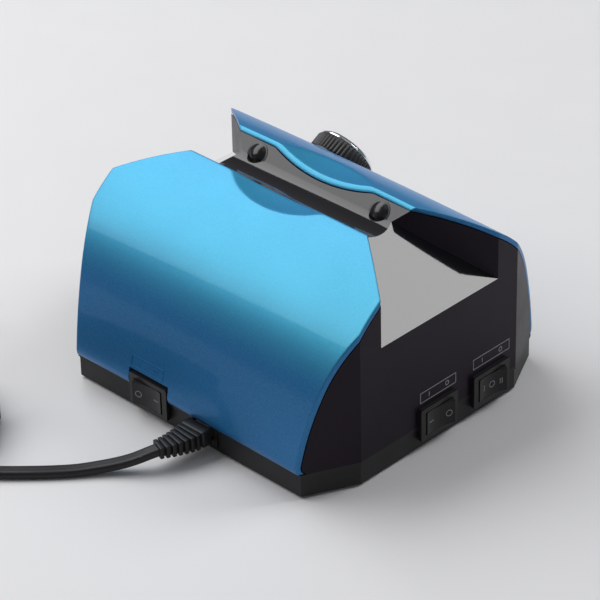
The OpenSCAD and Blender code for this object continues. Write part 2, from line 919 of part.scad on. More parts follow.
module lead_connector() {
    placed() color([0.05, 0.05, 0.05])
    at_inlet()
        difference() {
            union() {
                translate([0, 0, -nose_len]) linear_extrude(nose_len + plug_gap + eps) eight(0);
                translate([0, 0, plug_gap])
                    linear_extrude(plug_block) round_rect(plug_w, plug_h, 1.2);
                for (i = [0 : relief_ribs - 1]) {
                    w = plug_w - (i + 1) * (plug_w - cord_w - 1.4) / relief_ribs;
                    h = plug_h - (i + 1) * (plug_h - cord_t - 1.2) / relief_ribs;
                    along_relief((i + 0.5) / relief_ribs)
                        translate([0, 0, -relief_pitch / 2]) {
                            translate([0, 0, -0.4])
                                linear_extrude(relief_pitch + 0.4) round_rect(w - 1.4, h - 1, 0.8);
                            translate([0, 0, relief_pitch * 0.4])
                                linear_extrude(relief_pitch * 0.6) round_rect(w, h, 1.1);
                        }
                }
            }
            for (side = [-1, 1])
                translate([side * pin_gap / 2, 0, -nose_len - 1])
                    cylinder(d = pin_d + 0.3, h = nose_len, $fn = 32);
        }
}

// ---- front sockets ----
module socket(x, bore) {
    on_front(x, socket_tilt)
        difference() {
            union() {
                translate([0, 0, pad_back - socket_l])
                    cylinder(d = socket_thread + 2 * socket_wall, h = socket_l, $fn = 48);
                translate([0, 0, pad_back - eps])
                    cylinder(d = socket_thread, h = pad_top - pad_back + socket_nut_h + 0.4, $fn = 48);
            }
            translate([0, 0, pad_back - socket_l + socket_end])
                cylinder(d = bore, h = far, $fn = 48);
        }
}

socket_nut_h = 3.4;

module handpiece_socket() {
    placed() color([0.12, 0.12, 0.12]) socket(handpiece_x, handpiece_bore);
}

module pedal_socket() {
    placed() color([0.12, 0.12, 0.12]) socket(pedal_x, pedal_bore);
}

module socket_nuts() {
    placed() color([0.85, 0.85, 0.87])
    for (x = [handpiece_x, pedal_x])
        on_front(x, socket_tilt)
            translate([0, 0, pad_top]) tube(socket_nut_r, socket_thread / 2 + 0.05, socket_nut_h);
}

module power_lamp() {
    placed() color([0.7, 0.1, 0.08])
    on_front(lamp_x, socket_tilt) {
        translate([0, 0, pad_back - 1]) cylinder(d = lamp_d + 1, h = 1, $fn = 32);
        translate([0, 0, pad_back - eps])
            cylinder(d = lamp_d, h = -pad_back + 0.4 + 2 * eps, $fn = 32);
        translate([0, 0, 0.4]) intersection() {
            sphere(d = lamp_d, $fn = 48);
            cylinder(d = lamp_d, h = lamp_d, $fn = 32);
        }
    }
}

// ---- inside ----
trafo_x = board_x - board_w / 2 + 2 + trafo_w / 2;
trafo_l = supply_l - trafo_room;

module supply_board() {
    placed() color([0.1, 0.35, 0.2]) board(supply_y, supply_l);
}

module control_board() {
    placed() color([0.1, 0.35, 0.2]) board(control_y, control_l);
}

module trafo_core() {
    limb = trafo_w / 5;
    placed() color([0.35, 0.36, 0.38])
    translate([trafo_x - trafo_w / 2, supply_y - trafo_l / 4, board_top])
        difference() {
            cube([trafo_w, trafo_l / 2, trafo_h]);
            for (x = [limb, trafo_w - 2 * limb])
                translate([x, -1, limb]) cube([limb, trafo_l, trafo_h - 2 * limb]);
        }
}

module trafo_coil() {
    limb = trafo_w / 5;
    gap = 0.2;
    placed() color([0.75, 0.45, 0.2])
    difference() {
        translate([trafo_x - 1.5 * limb + gap, supply_y - trafo_l / 2, board_top + limb + gap])
            cube([3 * limb - 2 * gap, trafo_l, trafo_h - 2 * limb - 2 * gap]);
        translate([trafo_x - limb / 2 - gap, supply_y - trafo_l / 4 - gap, board_top])
            cube([limb + 2 * gap, trafo_l / 2 + 2 * gap, trafo_h]);
    }
}

cap_gap = 1.5;
cap_room = board_w - 2 - trafo_w - 2 * cap_d - cap_gap;
cap_x = board_x + board_w / 2 - cap_room / 2 - cap_d / 2;

module capacitors() {
    placed() color([0.12, 0.14, 0.3])
    for (i = [0, 1])
        translate([cap_x - i * (cap_d + cap_gap), supply_y - 2, board_top])
            cylinder(d = cap_d, h = cap_h, $fn = 48);
}

module fuse() {
    clip_w = fuse_d + 1;
    fuse_y = supply_y + cap_d / 2 + clip_w / 2;
    fuse_x = cap_x - 0.7 * fuse_l;
    placed() color([0.8, 0.82, 0.85]) {
        translate([fuse_x, fuse_y, board_top + 0.8 * fuse_d])
            rotate([0, 90, 0]) cylinder(d = fuse_d, h = fuse_l, $fn = 32);
        for (x = [0.025, 0.75] * fuse_l)
            translate([fuse_x + x, fuse_y - clip_w / 2, board_top])
                cube([0.2 * fuse_l, clip_w, 0.8 * fuse_d]);
    }
}

module heat_sink() {
    fin_pitch = (sink_w - fin_t) / (sink_fins - 1);
    placed() color([0.7, 0.72, 0.74])
    translate([board_x - sink_w / 2, control_y, board_top]) {
        cube([sink_w, 2.4, sink_h]);
        for (i = [0 : sink_fins - 1])
            translate([i * fin_pitch, 2.4 - eps, 0]) cube([fin_t, fin_l, sink_h]);
    }
}

module power_transistors() {
    placed() color([0.08, 0.08, 0.08])
    for (side = [-1, 1])
        translate([
            board_x + side * sink_w / 4 - transistor_w / 2, control_y - transistor_t, board_top
        ])
            cube([transistor_w, transistor_t, transistor_h]);
}

module board_screws() {
    placed() color([0.75, 0.75, 0.77])
    at_board_holes() {
        translate([0, 0, foot_gap + 1.4]) cylinder(d = screw_d, h = board_top - foot_gap - 1, $fn = 24);
        translate([0, 0, board_top]) cylinder(d = screw_d + 2.6, h = 2, $fn = 24);
    }
}

module base_screws() {
    placed() color([0.75, 0.75, 0.77])
    at_posts()
        difference() {
            union() {
                translate([0, 0, foot_gap + floor_t + 1 - 2])
                    cylinder(d = screw_d * 2 - 0.4, h = 2, $fn = 32);
                translate([0, 0, foot_gap + floor_t + 0.5])
                    cylinder(d = screw_d, h = seam_z - foot_gap - floor_t + screw_grip, $fn = 24);
            }
            translate([-1.8, -0.4, 0]) cube([3.6, 0.8, foot_gap + floor_t]);
            translate([-0.4, -1.8, 0]) cube([0.8, 3.6, foot_gap + floor_t]);
        }
}

module at_feet() {
    for (sx = [-1, 1], sy = [-1, 1])
        translate([sx * (post_x - foot_d - foot_in), sy * post_y, 0]) children();
}

module rubber_feet() {
    placed() color([0.08, 0.08, 0.08])
    at_feet() cylinder(d = foot_d, h = foot_h, $fn = 48);
}

// ---- free cord ----
// Middle of the cord: from the strain relief down to the table, and along it
// to the coil. The tail runs from the coil to the plug.
lead_route = [
    [-6.4, 87, 8],
    [-5.3, 89.6, 7.6],
    [-4, 92, 7],
    [-2.2, 94.8, 6],
    [0.4, 98, 4.8],
    [4, 102, 3.6],
    [8.4, 107, 2.6],
    [13.2, 112.8, 2],
    [18.8, 119, 1.9],
    [25.6, 125.8, 1.9],
    [33.6, 133.2, 1.9],
    [42, 140.3, 2.2],
    [50, 147, 2.8],
    [56.4, 154, 2.95]
];
tail_route = [
    [114, 154, 14],
    [116.6, 146.5, 13.6],
    [119.5, 138.5, 12],
    [122.4, 130.5, 9.8],
    [125.2, 122.8, 7.9],
    [127.6, 116.2, 7],
    [130, 109.6, 6.9]
];
coil_at = [85, 137.5, 1];
coil_mid_r = 30;
coil_rows = 2;
coil_layers = 4;
tie_t = 0.8;
tie_w = 9;
plug_at = [129.4, 111.2, 6.9];
plug_turn = 20;
plug_len = 34;
plug_wide = 34;
plug_thick = 13.4;
mains_pin_d = 4;
mains_pin_len = 19;
mains_pin_gap = 19;

function unit(v) = v / norm(v);
function heading(path, i) =
    unit(path[min(i + 1, len(path) - 1)] - path[max(i - 1, 0)]);

// Flat eight-sided tube along a route.
module cord_tube(path) {
    sides = 8;
    rings = len(path);
    corners = [
        for (i = [0 : rings - 1])
            let (
                ahead = heading(path, i),
                across = unit(cross([0, 0, 1], ahead)),
                upward = cross(ahead, across)
            )
            for (k = [0 : sides - 1])
                path[i]
                    + across * cord_w / 2 * cos((k + 0.5) * 360 / sides) / cos(180 / sides)
                    + upward * cord_t / 2 * sin((k + 0.5) * 360 / sides) / cos(180 / sides)
    ];
    walls = [
        for (i = [0 : rings - 2], k = [0 : sides - 1], half = [0, 1])
            let (
                a = i * sides + k,
                b = i * sides + (k + 1) % sides,
                c = a + sides,
                d = b + sides
            )
            half == 0 ? [a, d, b] : [a, c, d]
    ];
    start = [for (k = [0 : sides - 1]) k];
    end = [for (k = [sides - 1 : -1 : 0]) (rings - 1) * sides + k];
    polyhedron(corners, concat(walls, [start], [end]));
}

module mains_cord() {
    placed() color([0.04, 0.04, 0.04]) cord_tube(lead_route);
}

module cord_tail() {
    placed() color([0.04, 0.04, 0.04]) cord_tube(tail_route);
}

coil_in = coil_mid_r - coil_rows * cord_w / 2 - 0.3;
coil_out = coil_mid_r + coil_rows * cord_w / 2 + 0.3;
coil_h = coil_layers * cord_t + 0.2;

module cord_coil() {
    placed() color([0.04, 0.04, 0.04])
    translate(coil_at) tube(coil_out, coil_in, coil_h);
}

module cord_tie() {
    placed() color([0.15, 0.15, 0.15])
    translate([coil_at.x, coil_at.y, 0])
        rotate([0, 0, 235])
            translate([coil_mid_r, tie_w / 2, 0])
                rotate([90, 0, 0])
                    linear_extrude(tie_w)
                        difference() {
                            translate([0, coil_at.z + coil_h / 2])
                                square([
                                    coil_out - coil_in + 1.4 + 2 * tie_t,
                                    coil_h + 0.3 + 2 * tie_t
                                ], center = true);
                            translate([0, coil_at.z + coil_h / 2])
                                square([coil_out - coil_in + 1.4, coil_h + 0.3], center = true);
                        }
}

module at_plug() {
    translate(plug_at) rotate([90, 0, plug_turn]) children();
}

// Local +Z runs from the cord towards the pins, +Y is up.
module mains_plug() {
    placed() color([0.05, 0.05, 0.05])
    at_plug() {
        translate([0, 0, plug_len - 10])
            linear_extrude(10) round_rect(plug_wide, plug_thick, 3);
        translate([0, 0, plug_len - 20])
            linear_extrude(10.1) round_rect(plug_wide * 0.8, plug_thick - 0.8, 3);
        translate([0, 0, 6])
            linear_extrude(plug_len - 20 - 5.9) round_rect(plug_wide * 0.5, plug_thick - 2, 3);
        linear_extrude(6.1) round_rect(cord_w + 4, cord_t + 4, 2);
    }
}

module plug_pins() {
    placed() color([0.85, 0.86, 0.88])
    at_plug()
        for (side = [-1, 1])
            translate([side * mains_pin_gap / 2, 0, plug_len])
                cylinder(d = mains_pin_d, h = mains_pin_len, $fn = 32);
}

base_tray();
housing();
rear_shell();
front_shell();
cradle_bumpers();
knob_collar();
knob_grip();
knob_rim();
knob_cap();
pot_shaft();
speed_pot();
pot_nut();
power_switch();
power_rocker();
mode_switch();
mode_rocker();
direction_switch();
direction_rocker();
switch_terminals();
mains_inlet();
inlet_pins();
handpiece_socket();
pedal_socket();
socket_nuts();
power_lamp();
supply_board();
control_board();
trafo_core();
trafo_coil();
capacitors();
heat_sink();
power_transistors();
fuse();
board_screws();
base_screws();
rubber_feet();
lead_connector();
mains_cord();
cord_tail();
cord_coil();
cord_tie();
mains_plug();
plug_pins();
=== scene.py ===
"""Looks of a nail drill's control box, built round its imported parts.

Run as a script: it loads the parts, models the covers, bumpers, knob, marks and
mains lead, gives every part its finish and sets up the stage and the camera.
"""

import json
import math

import bpy
from bpy.props import FloatProperty, FloatVectorProperty, IntProperty, PointerProperty
from bpy.types import Operator, Panel, PropertyGroup
from mathutils import Matrix, Vector


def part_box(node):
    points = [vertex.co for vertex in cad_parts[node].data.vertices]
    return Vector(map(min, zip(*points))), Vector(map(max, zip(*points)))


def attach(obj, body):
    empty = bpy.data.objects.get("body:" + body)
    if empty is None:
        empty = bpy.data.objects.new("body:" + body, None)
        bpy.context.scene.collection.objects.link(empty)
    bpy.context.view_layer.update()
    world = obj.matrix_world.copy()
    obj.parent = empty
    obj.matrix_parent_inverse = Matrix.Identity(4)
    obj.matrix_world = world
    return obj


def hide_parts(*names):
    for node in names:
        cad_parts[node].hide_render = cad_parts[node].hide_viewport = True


bl_info = {
    "name": "Nail drill control box",
    "version": (1, 0, 0),
    "blender": (4, 5, 0),
    "location": "3D View > Sidebar > Nail Drill",
    "description": "Covers, knob, switches, lead and finishes of a nail drill's control box",
    "category": "Object",
}

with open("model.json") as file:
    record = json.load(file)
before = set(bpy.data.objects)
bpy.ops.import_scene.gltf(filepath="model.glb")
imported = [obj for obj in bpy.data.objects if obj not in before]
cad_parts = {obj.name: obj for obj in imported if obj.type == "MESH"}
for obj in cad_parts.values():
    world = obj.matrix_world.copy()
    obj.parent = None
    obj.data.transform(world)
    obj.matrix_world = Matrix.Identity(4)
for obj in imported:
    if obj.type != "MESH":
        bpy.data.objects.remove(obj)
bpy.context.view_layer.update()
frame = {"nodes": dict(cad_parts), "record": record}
CAD = frame["nodes"]
BOX = "control_box"

MM = 0.001
TRAY_LOW, TRAY_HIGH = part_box("base_tray")
MIDDLE = (TRAY_LOW.x + TRAY_HIGH.x) / 2
HALF_W = (TRAY_HIGH.x - TRAY_LOW.x) / 2
HALF_D = (TRAY_HIGH.y - TRAY_LOW.y) / 2
SEAM_Z = TRAY_HIGH.z
QUARTER_TURN = math.pi / 2
FULL_TURN = 2 * math.pi


# ---- sizes and colours a user would change ----
def length(name, value, about):
    return FloatProperty(name=name, description=about, default=value, unit="LENGTH", precision=5)


def angle(name, degrees, about):
    return FloatProperty(
        name=name, description=about, default=math.radians(degrees), subtype="ANGLE"
    )


def colour(name, value, about):
    return FloatVectorProperty(
        name=name, description=about, default=value, subtype="COLOR", min=0, max=1
    )


class CoverSizes(PropertyGroup):
    """Sizes of the two covers and the cradle between them."""

    height: length("Height", 0.0887, "Height of the covers at their upper edge")
    thickness: length("Thickness", 0.002, "Wall of the covers")
    brow_radius: length("Brow radius", 0.0707, "Radius of the upper bend")
    brow_from: angle("Brow start", 16.5, "Slope at the upper edge")
    brow_to: angle("Brow end", 67.3, "Slope where the long face starts")
    hem_out: length("Hem reach", 0.0016, "Bulge of the long face beyond the tray")
    hem_height: length("Hem height", 0.0045, "Height of the curled hem above the seam")
    hem_radius: length("Hem radius", 0.0053, "Radius of the curled hem")
    seam_gap: length("Seam gap", 0.0003, "Gap between hem and tray")
    crown_radius: length("Crown radius", 3.3, "Radius of the crown across the width")
    scoop_width: length("Scoop width", 0.05, "Width of a finger scoop")
    scoop_run: length("Scoop run", 0.009, "Reach of a scoop beyond the upper edge")
    scoop_depth: length("Scoop depth", 0.0035, "Depth of a scoop at the upper edge")
    cradle_foot: length("Cradle foot", 0.00766, "Half width of the cradle at its foot")
    cradle_height: length("Cradle height", 0.0817, "Height of the cradle foot")
    cradle_slope: angle("Cradle slope", 49, "Slope of the cradle walls")
    fork_x: length("Fork", 0.0404, "Distance of the valley forks from the middle")
    fork_angle: angle("Fork angle", 38, "Angle between valley walls and cradle")
    side_height: length("Valley height", 0.058, "Height of the side valleys at the flanks")
    side_slope: angle("Valley slope", 36, "Slope of the side valley floors")
    corner_width: length("Corner width", 0.011, "Width of each bevelled plan corner")
    corner_depth: length("Corner depth", 0.022, "Depth of each bevelled plan corner")
    edge_round: length("Edge rounding", 0.0004, "Rounding of the cover edges")
    columns: IntProperty(
        name="Columns", description="Faces across a cover", default=160, min=40, max=400
    )


class FittingSizes(PropertyGroup):
    """Sizes and places of knob, switches, bumpers and sockets."""

    knob_x: length("Knob place", 0.0365, "Distance of the knob from the middle")
    knob_tilt: angle("Knob tilt", 61, "Tilt of the knob axis from upright")
    knob_radius: length("Knob radius", 0.0137, "Radius of the knob")
    knob_low: length("Knob foot", 0.0009, "Gap between cover and knob")
    knob_height: length("Knob height", 0.0078, "Height of the ribbed grip")
    knob_ribs: IntProperty(name="Knob ribs", description="Number of grip ribs", default=48)
    rib_depth: length("Rib depth", 0.00045, "Depth of the grip ribs")
    rim_height: length("Rim height", 0.0018, "Height of the bright rim")
    bumper_radius: length("Bumper radius", 0.0043, "Radius of the rubber bumpers")
    bumper_dome: length("Bumper dome", 0.0018, "Height of the bumper domes")
    bumper_flange: length("Bumper flange", 0.0006, "Width of the rim round a bumper")
    bumper_x: length("Bumper place", 0.0332, "Distance of the bumpers from the middle")
    bumper_z: length("Bumper height", 0.0829, "Height of the bumper centres")
    bezel_width: length("Bezel width", 0.021, "Length of a switch bezel")
    bezel_height: length("Bezel height", 0.0146, "Height of a switch bezel")
    bezel_thickness: length("Bezel thickness", 0.0018, "Thickness of a switch bezel")
    rocker_tilt: angle("Rocker tilt", 8, "Tilt of a rocker from its middle")
    rocker_hollow: length("Rocker hollow", 0.024, "Radius of the hollow finger face")
    power_x: length("Power place", 0.0197, "Place of the power switch across the rear")
    power_z: length("Power height", 0.011, "Height of the power switch")
    mode_y: length("Mode place", 0.0022, "Place of the mode switch on the flank")
    direction_y: length("Direction place", -0.0284, "Place of the direction switch")
    flank_z: length("Flank height", 0.0122, "Height of the flank switches")
    socket_tilt: angle("Socket tilt", 75, "Tilt of the socket axes from upright")
    handpiece_x: length("Handpiece socket", -0.042, "Place of the handpiece socket")
    pedal_x: length("Pedal socket", -0.020, "Place of the pedal socket")
    lamp_x: length("Lamp", 0.008, "Place of the power lamp")
    lamp_radius: length("Lamp radius", 0.0025, "Radius of the power lamp")
    nut_radius: length("Nut radius", 0.0074, "Radius of the socket nuts")


class LeadSizes(PropertyGroup):
    """Sizes of the mains lead."""

    inlet_x: length("Inlet place", -0.009, "Place of the inlet across the rear")
    inlet_z: length("Inlet height", 0.0081, "Height of the inlet")
    width: length("Cord width", 0.006, "Width of the flat cord")
    thickness: length("Cord thickness", 0.0037, "Thickness of the flat cord")
    full_length: length("Cord length", 1.51, "Length from the connector to the plug")
    plug_width: length("Connector width", 0.0127, "Width of the connector")
    plug_height: length("Connector height", 0.0072, "Height of the connector")
    plug_block: length("Connector block", 0.0054, "Length of the connector block")
    relief_ribs: IntProperty(
        name="Relief ribs", description="Number of ribs of the strain relief", default=7
    )
    relief_pitch: length("Rib pitch", 0.0023, "Distance between the ribs")
    relief_bend: angle("Relief bend", 22, "Bend of the strain relief")
    coil_radius: length("Coil radius", 0.030, "Radius to the middle of the turns")


class Colours(PropertyGroup):
    """Colours of the main finishes."""

    cover: colour("Cover", (0.040, 0.34, 0.46), "Pearl blue of the covers")
    cover_edge: colour("Cover, edge on", (0.0, 0.21, 0.66), "Blue of the covers seen edge on")
    # Painted shade: a deep blue for the steep lower faces of the covers, standing in for the
    # shade under the light from above.
    cover_painted_shade: colour("Cover, deep", (0.0, 0.085, 0.31), "Blue of the covers low down")
    black: colour("Black", (0.012, 0.011, 0.014), "Black of the housing")
    plum: colour("Flank", (0.010, 0.005, 0.012), "Plum black of the flanks")
    tray: colour("Tray", (0.014, 0.014, 0.015), "Black of the base tray")
    rubber: colour("Rubber", (0.010, 0.010, 0.011), "Black of bumpers and feet")
    # The grey also serves as a painted highlight on the black flank label frames.
    mark: colour("Marks", (0.20, 0.20, 0.22), "Grey of the moulded marks")
    floor: colour("Floor", (0.80, 0.80, 0.81), "Pale floor")


class StageSizes(PropertyGroup):
    """Camera and light."""

    azimuth: angle("Azimuth", 223.264, "Direction of the camera round the box")
    elevation: angle("Elevation", 32.384, "Height angle of the camera")
    roll: angle("Roll", -0.414, "Roll of the camera")
    distance: length("Distance", 1.2602, "Distance of the camera")
    lens: FloatProperty(name="Lens", description="Focal length", default=190.4, unit="CAMERA")
    aim_height: length("Aim height", 0.040, "Height of the point that the aim starts from")
    aim_right: length("Aim right", 0.0305, "Move of the aim to the right")
    aim_down: length("Aim down", 0.0020, "Move of the aim downwards")
    light: FloatProperty(name="Light", description="Strength of the lamps", default=1.0)


# ---- outline of the covers ----
SCOOP_FILLET = 0.3 * MM


class Outline:
    """Worked-out lines of the covers about the housing's middle, in metres and radians."""

    def __init__(self, size):
        self.size = size
        slope = math.tan(size.cradle_slope)
        rise = size.height - size.cradle_height
        self.edge_y = size.cradle_foot + rise / slope
        self.crown_axis = size.height - size.crown_radius
        brow = Vector((self.edge_y, size.height)) - size.brow_radius * heading(size.brow_from)
        face_from = brow + size.brow_radius * heading(size.brow_to)
        hem_top = Vector((HALF_D + size.hem_out, SEAM_Z + size.hem_height))
        span = hem_top - face_from
        chord = math.atan2(-span.y, span.x)
        self.face_to = 2 * chord - size.brow_to
        face_radius = span.length / (2 * math.sin(chord - size.brow_to))
        face = face_from - face_radius * heading(size.brow_to)
        hem = hem_top - size.hem_radius * heading(self.face_to)
        self.arcs = (
            (brow, size.brow_radius, size.brow_to),
            (face, face_radius, self.face_to),
            (hem, size.hem_radius, math.pi),
        )
        run, half = size.scoop_run, size.scoop_width / 2
        rho = (half**2 + run**2) / (2 * run)
        near = run - rho
        lift = (rho**2 - near**2 - size.scoop_depth**2) / (2 * size.scoop_depth)
        tilt = size.brow_from + run / size.brow_radius / 2
        self.scoop_radius = math.hypot(lift, rho)
        self.scoop_y = self.edge_y + near * math.cos(tilt) + lift * math.sin(tilt)
        self.scoop_z = size.height - near * math.sin(tilt) + lift * math.cos(tilt)
        fork_z = size.side_height + (HALF_W - size.fork_x) * math.tan(size.side_slope)
        fork_y = size.cradle_foot + (fork_z - size.cradle_height) / slope
        self.fork_tip = size.fork_x - fork_y / math.tan(size.fork_angle)
        self.flank_y = (HALF_W - self.fork_tip) * math.tan(size.fork_angle)
        self.corner_y = HALF_D - size.corner_depth
        # Rows above held_to bend with the scoop's edge; the hem curls round to hem_to.
        self.held_to = size.brow_from + 1.2 * run / size.brow_radius
        self.hem_to = math.radians(130)
        self.edges = {}

    def arc(self, slope, inset):
        """The outline's point at a slope: its distance from the middle and its height."""
        for centre, radius, to in self.arcs:
            if slope <= to:
                break
        return centre + (radius - inset) * heading(slope)

    def crowned(self, x, z):
        """Height at a distance x from the middle of a point that is z high in the middle."""
        radius = z - self.crown_axis
        return self.crown_axis + math.sqrt(max(radius**2 - x**2, 0))

    def half_width(self, y):
        """Half the width of a cover at a distance y from the cradle's middle."""
        valley = self.fork_tip + y / math.tan(self.size.fork_angle)
        corner = HALF_W - (y - self.corner_y) * self.size.corner_width / self.size.corner_depth
        return min(valley, HALF_W, corner)

    def surface(self, x, slope, inset):
        """A point of the cover, scoop included: distance from the middle and height."""
        y, z = self.arc(slope, inset)
        z = self.crowned(x, z)
        radius = self.scoop_radius + inset
        room = radius**2 - x**2 - (y - self.scoop_y) ** 2
        if room > 0:
            dent = self.scoop_z - math.sqrt(room)
            z = soft_least(z, dent, SCOOP_FILLET)
        return y, z

    def edge_slope(self, x, inset):
        """Slope at which the cover meets the cradle wall."""
        key = (round(abs(x), 4), inset)

        def above_wall(slope):
            y, z = self.surface(key[0], slope, inset)
            rise = (y - self.size.cradle_foot) * math.tan(self.size.cradle_slope)
            return z > self.size.cradle_height + rise

        if key not in self.edges:
            self.edges[key] = crossing(0.0, math.radians(25), above_wall)
        return self.edges[key]

    def hem_slope(self, x, inset):
        """Slope at which the hem ends just above the tray."""
        centre, radius, _ = self.arcs[2]
        end = SEAM_Z + self.size.seam_gap
        level = self.crown_axis + math.sqrt((end - self.crown_axis) ** 2 + x**2)
        share = (level - centre.y) / (radius - inset)
        return math.acos(max(-1.0, min(1.0, share)))

    def place(self, side, x, slope, inset=0.0):
        """Axes of a place on a cover: local Z points out of it, local Y up."""
        y, z = self.arc(slope, inset)
        turn = math.asin(x / (z - self.crown_axis))
        lift = Matrix.Translation((MIDDLE, 0, self.crown_axis)) @ Matrix.Rotation(turn, 4, "Y")
        out = Matrix.Translation((0, side * y, z - self.crown_axis))
        return lift @ out @ Matrix.Rotation(-side * slope, 4, "X")


def crossing(low, high, before):
    """The value between two limits up to which a test holds."""
    for _ in range(30):
        middle = (low + high) / 2
        if before(middle):
            low = middle
        else:
            high = middle
    return low


def heading(slope):
    """Outward direction of a cover at a slope, in its own outline plane."""
    return Vector((math.sin(slope), math.cos(slope)))


def soft_least(a, b, blend):
    """The lower of two heights, with a small fillet between them."""
    return (a + b - math.sqrt((a - b) ** 2 + blend**2)) / 2


# ---- modelling helpers ----
# Materials by the record's slot names, filled by the finishes operator.
FINISH = {}


def clear_selection():
    if bpy.context.object and bpy.context.object.mode != "OBJECT":
        bpy.ops.object.mode_set(mode="OBJECT")
    bpy.ops.object.select_all(action="DESELECT")


def select_only(*objects):
    clear_selection()
    for item in objects:
        item.select_set(True)
    bpy.context.view_layer.objects.active = objects[0]


def named(name):
    """The piece that an operator has just added, with its name."""
    piece = bpy.context.object
    piece.name = name
    piece.data.name = name
    return piece


def settle(piece, place=None):
    """Puts the piece at a place, with the place in its mesh."""
    select_only(piece)
    bpy.ops.object.transform_apply(location=True, rotation=True, scale=True)
    if place is not None:
        piece.data.transform(place)
        piece.data.update()
    return piece


def copy_of(piece, name):
    select_only(piece)
    bpy.ops.object.duplicate()
    return named(name)


def joined(name, pieces):
    select_only(*pieces)
    if len(pieces) > 1:
        bpy.ops.object.join()
    return named(name)


def apply_all(piece):
    select_only(piece)
    for modifier in list(piece.modifiers):
        bpy.ops.object.modifier_apply(modifier=modifier.name)


def round_edges(piece, width, segments=2, limit=35):
    """Rounds the sharp edges of a piece."""
    bevel = piece.modifiers.new("round", "BEVEL")
    bevel.width = width
    bevel.segments = segments
    bevel.limit_method = "ANGLE"
    bevel.angle_limit = math.radians(limit)
    bevel.use_clamp_overlap = False
    apply_all(piece)


def smooth(piece, limit=35):
    select_only(piece)
    bpy.ops.object.shade_smooth_by_angle(angle=math.radians(limit))


def cut_away(piece, cutters):
    """Takes the cutters out of a piece."""
    cutter = joined("cutter", cutters)
    hole = piece.modifiers.new("hole", "BOOLEAN")
    hole.operation = "DIFFERENCE"
    hole.solver = "EXACT"
    hole.object = cutter
    apply_all(piece)
    bpy.data.objects.remove(cutter)


def edit(piece, select_mode="VERT"):
    select_only(piece)
    bpy.ops.object.mode_set(mode="EDIT")
    bpy.ops.mesh.select_mode(type=select_mode)
    bpy.ops.mesh.select_all(action="DESELECT")


def mend_normals():
    """Turns every face of the edited piece outwards, and leaves edit mode."""
    bpy.ops.mesh.select_all(action="SELECT")
    bpy.ops.mesh.normals_make_consistent(inside=False)
    bpy.ops.object.mode_set(mode="OBJECT")


def pick(piece, kind, wanted):
    """Selects vertices, edges or faces by a test of their place."""
    bpy.ops.object.mode_set(mode="OBJECT")
    for item in getattr(piece.data, kind):
        item.select = bool(wanted(item))
    bpy.ops.object.mode_set(mode="EDIT")


def block(name, size, centre=(0, 0, 0)):
    """A block of a size, to be shaped."""
    bpy.ops.mesh.primitive_cube_add(size=1, location=centre)
    piece = named(name)
    piece.scale = size
    return settle(piece)


def rod(name, radius, depth, centre=(0, 0, 0), sides=64):
    bpy.ops.mesh.primitive_cylinder_add(
        vertices=sides, radius=radius, depth=depth, location=centre
    )
    return settle(named(name))


def turned(name, profile, sides=64):
    """A turned piece: its outline is extruded ring by ring from a circle, (radius, height)."""
    radius, height = profile[0]
    bpy.ops.mesh.primitive_circle_add(vertices=sides, radius=radius, location=(0, 0, height))
    piece = settle(named(name))
    edit(piece)
    bpy.ops.mesh.select_all(action="SELECT")
    bpy.ops.mesh.edge_face_add()
    before = (radius, height)
    bpy.ops.mesh.select_mode(type="FACE")
    bpy.ops.mesh.select_all(action="SELECT")
    for radius, height in profile[1:]:
        bpy.ops.mesh.extrude_region_move(
            TRANSFORM_OT_translate={"value": (0, 0, height - before[1])}
        )
        grow = radius / before[0]
        bpy.ops.transform.resize(value=(grow, grow, 1), center_override=(0, 0, height))
        before = (radius, height)
    mend_normals()
    return piece


def finish_piece(piece, body, slot, replaces=(), finish=None):
    """Paints a piece with its slot's finish, or with another, and ties it to its body."""
    piece.data.materials.clear()
    piece.data.materials.append(FINISH[finish or slot])
    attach(piece, body)
    if replaces:
        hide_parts(*replaces)
    return piece


def standing(spot, turn):
    """Axes on an upright face: local X to the right as seen from outside, Y up, Z outward."""
    upright = Matrix.Rotation(turn, 4, "Z") @ Matrix.Rotation(QUARTER_TURN, 4, "X")
    return Matrix.Translation(spot) @ upright


def flank_place(y, z):
    return standing((MIDDLE - HALF_W, y, z), -QUARTER_TURN)


def rear_place(x, z):
    return standing((MIDDLE + x, HALF_D, z), math.pi)


# ---- node groups ----
def group_of(name, inputs, outputs):
    """An empty shader node group with its sockets, and its two end nodes."""
    tree = bpy.data.node_groups.new(name, "ShaderNodeTree")
    for label, kind, value in inputs:
        socket = tree.interface.new_socket(label, in_out="INPUT", socket_type=kind)
        if value is not None:
            socket.default_value = value
    for label, kind in outputs:
        tree.interface.new_socket(label, in_out="OUTPUT", socket_type=kind)
    start = tree.nodes.new("NodeGroupInput")
    end = tree.nodes.new("NodeGroupOutput")
    return tree, start, end


def math_node(tree, operation, a, b=None, c=None, clamp=False):
    node = tree.nodes.new("ShaderNodeMath")
    node.operation = operation
    node.use_clamp = clamp
    for socket, value in zip(node.inputs, (a, b, c)):
        if value is None:
            continue
        if isinstance(value, (int, float)):
            socket.default_value = value
        else:
            tree.links.new(value, socket)
    return node.outputs[0]


def noise_node(tree, vector, scale, detail=3.0, roughness=0.55):
    node = tree.nodes.new("ShaderNodeTexNoise")
    node.inputs["Detail"].default_value = detail
    node.inputs["Roughness"].default_value = roughness
    tree.links.new(vector, node.inputs["Vector"])
    if isinstance(scale, (int, float)):
        node.inputs["Scale"].default_value = scale
    else:
        tree.links.new(scale, node.inputs["Scale"])
    return node.outputs["Fac"]


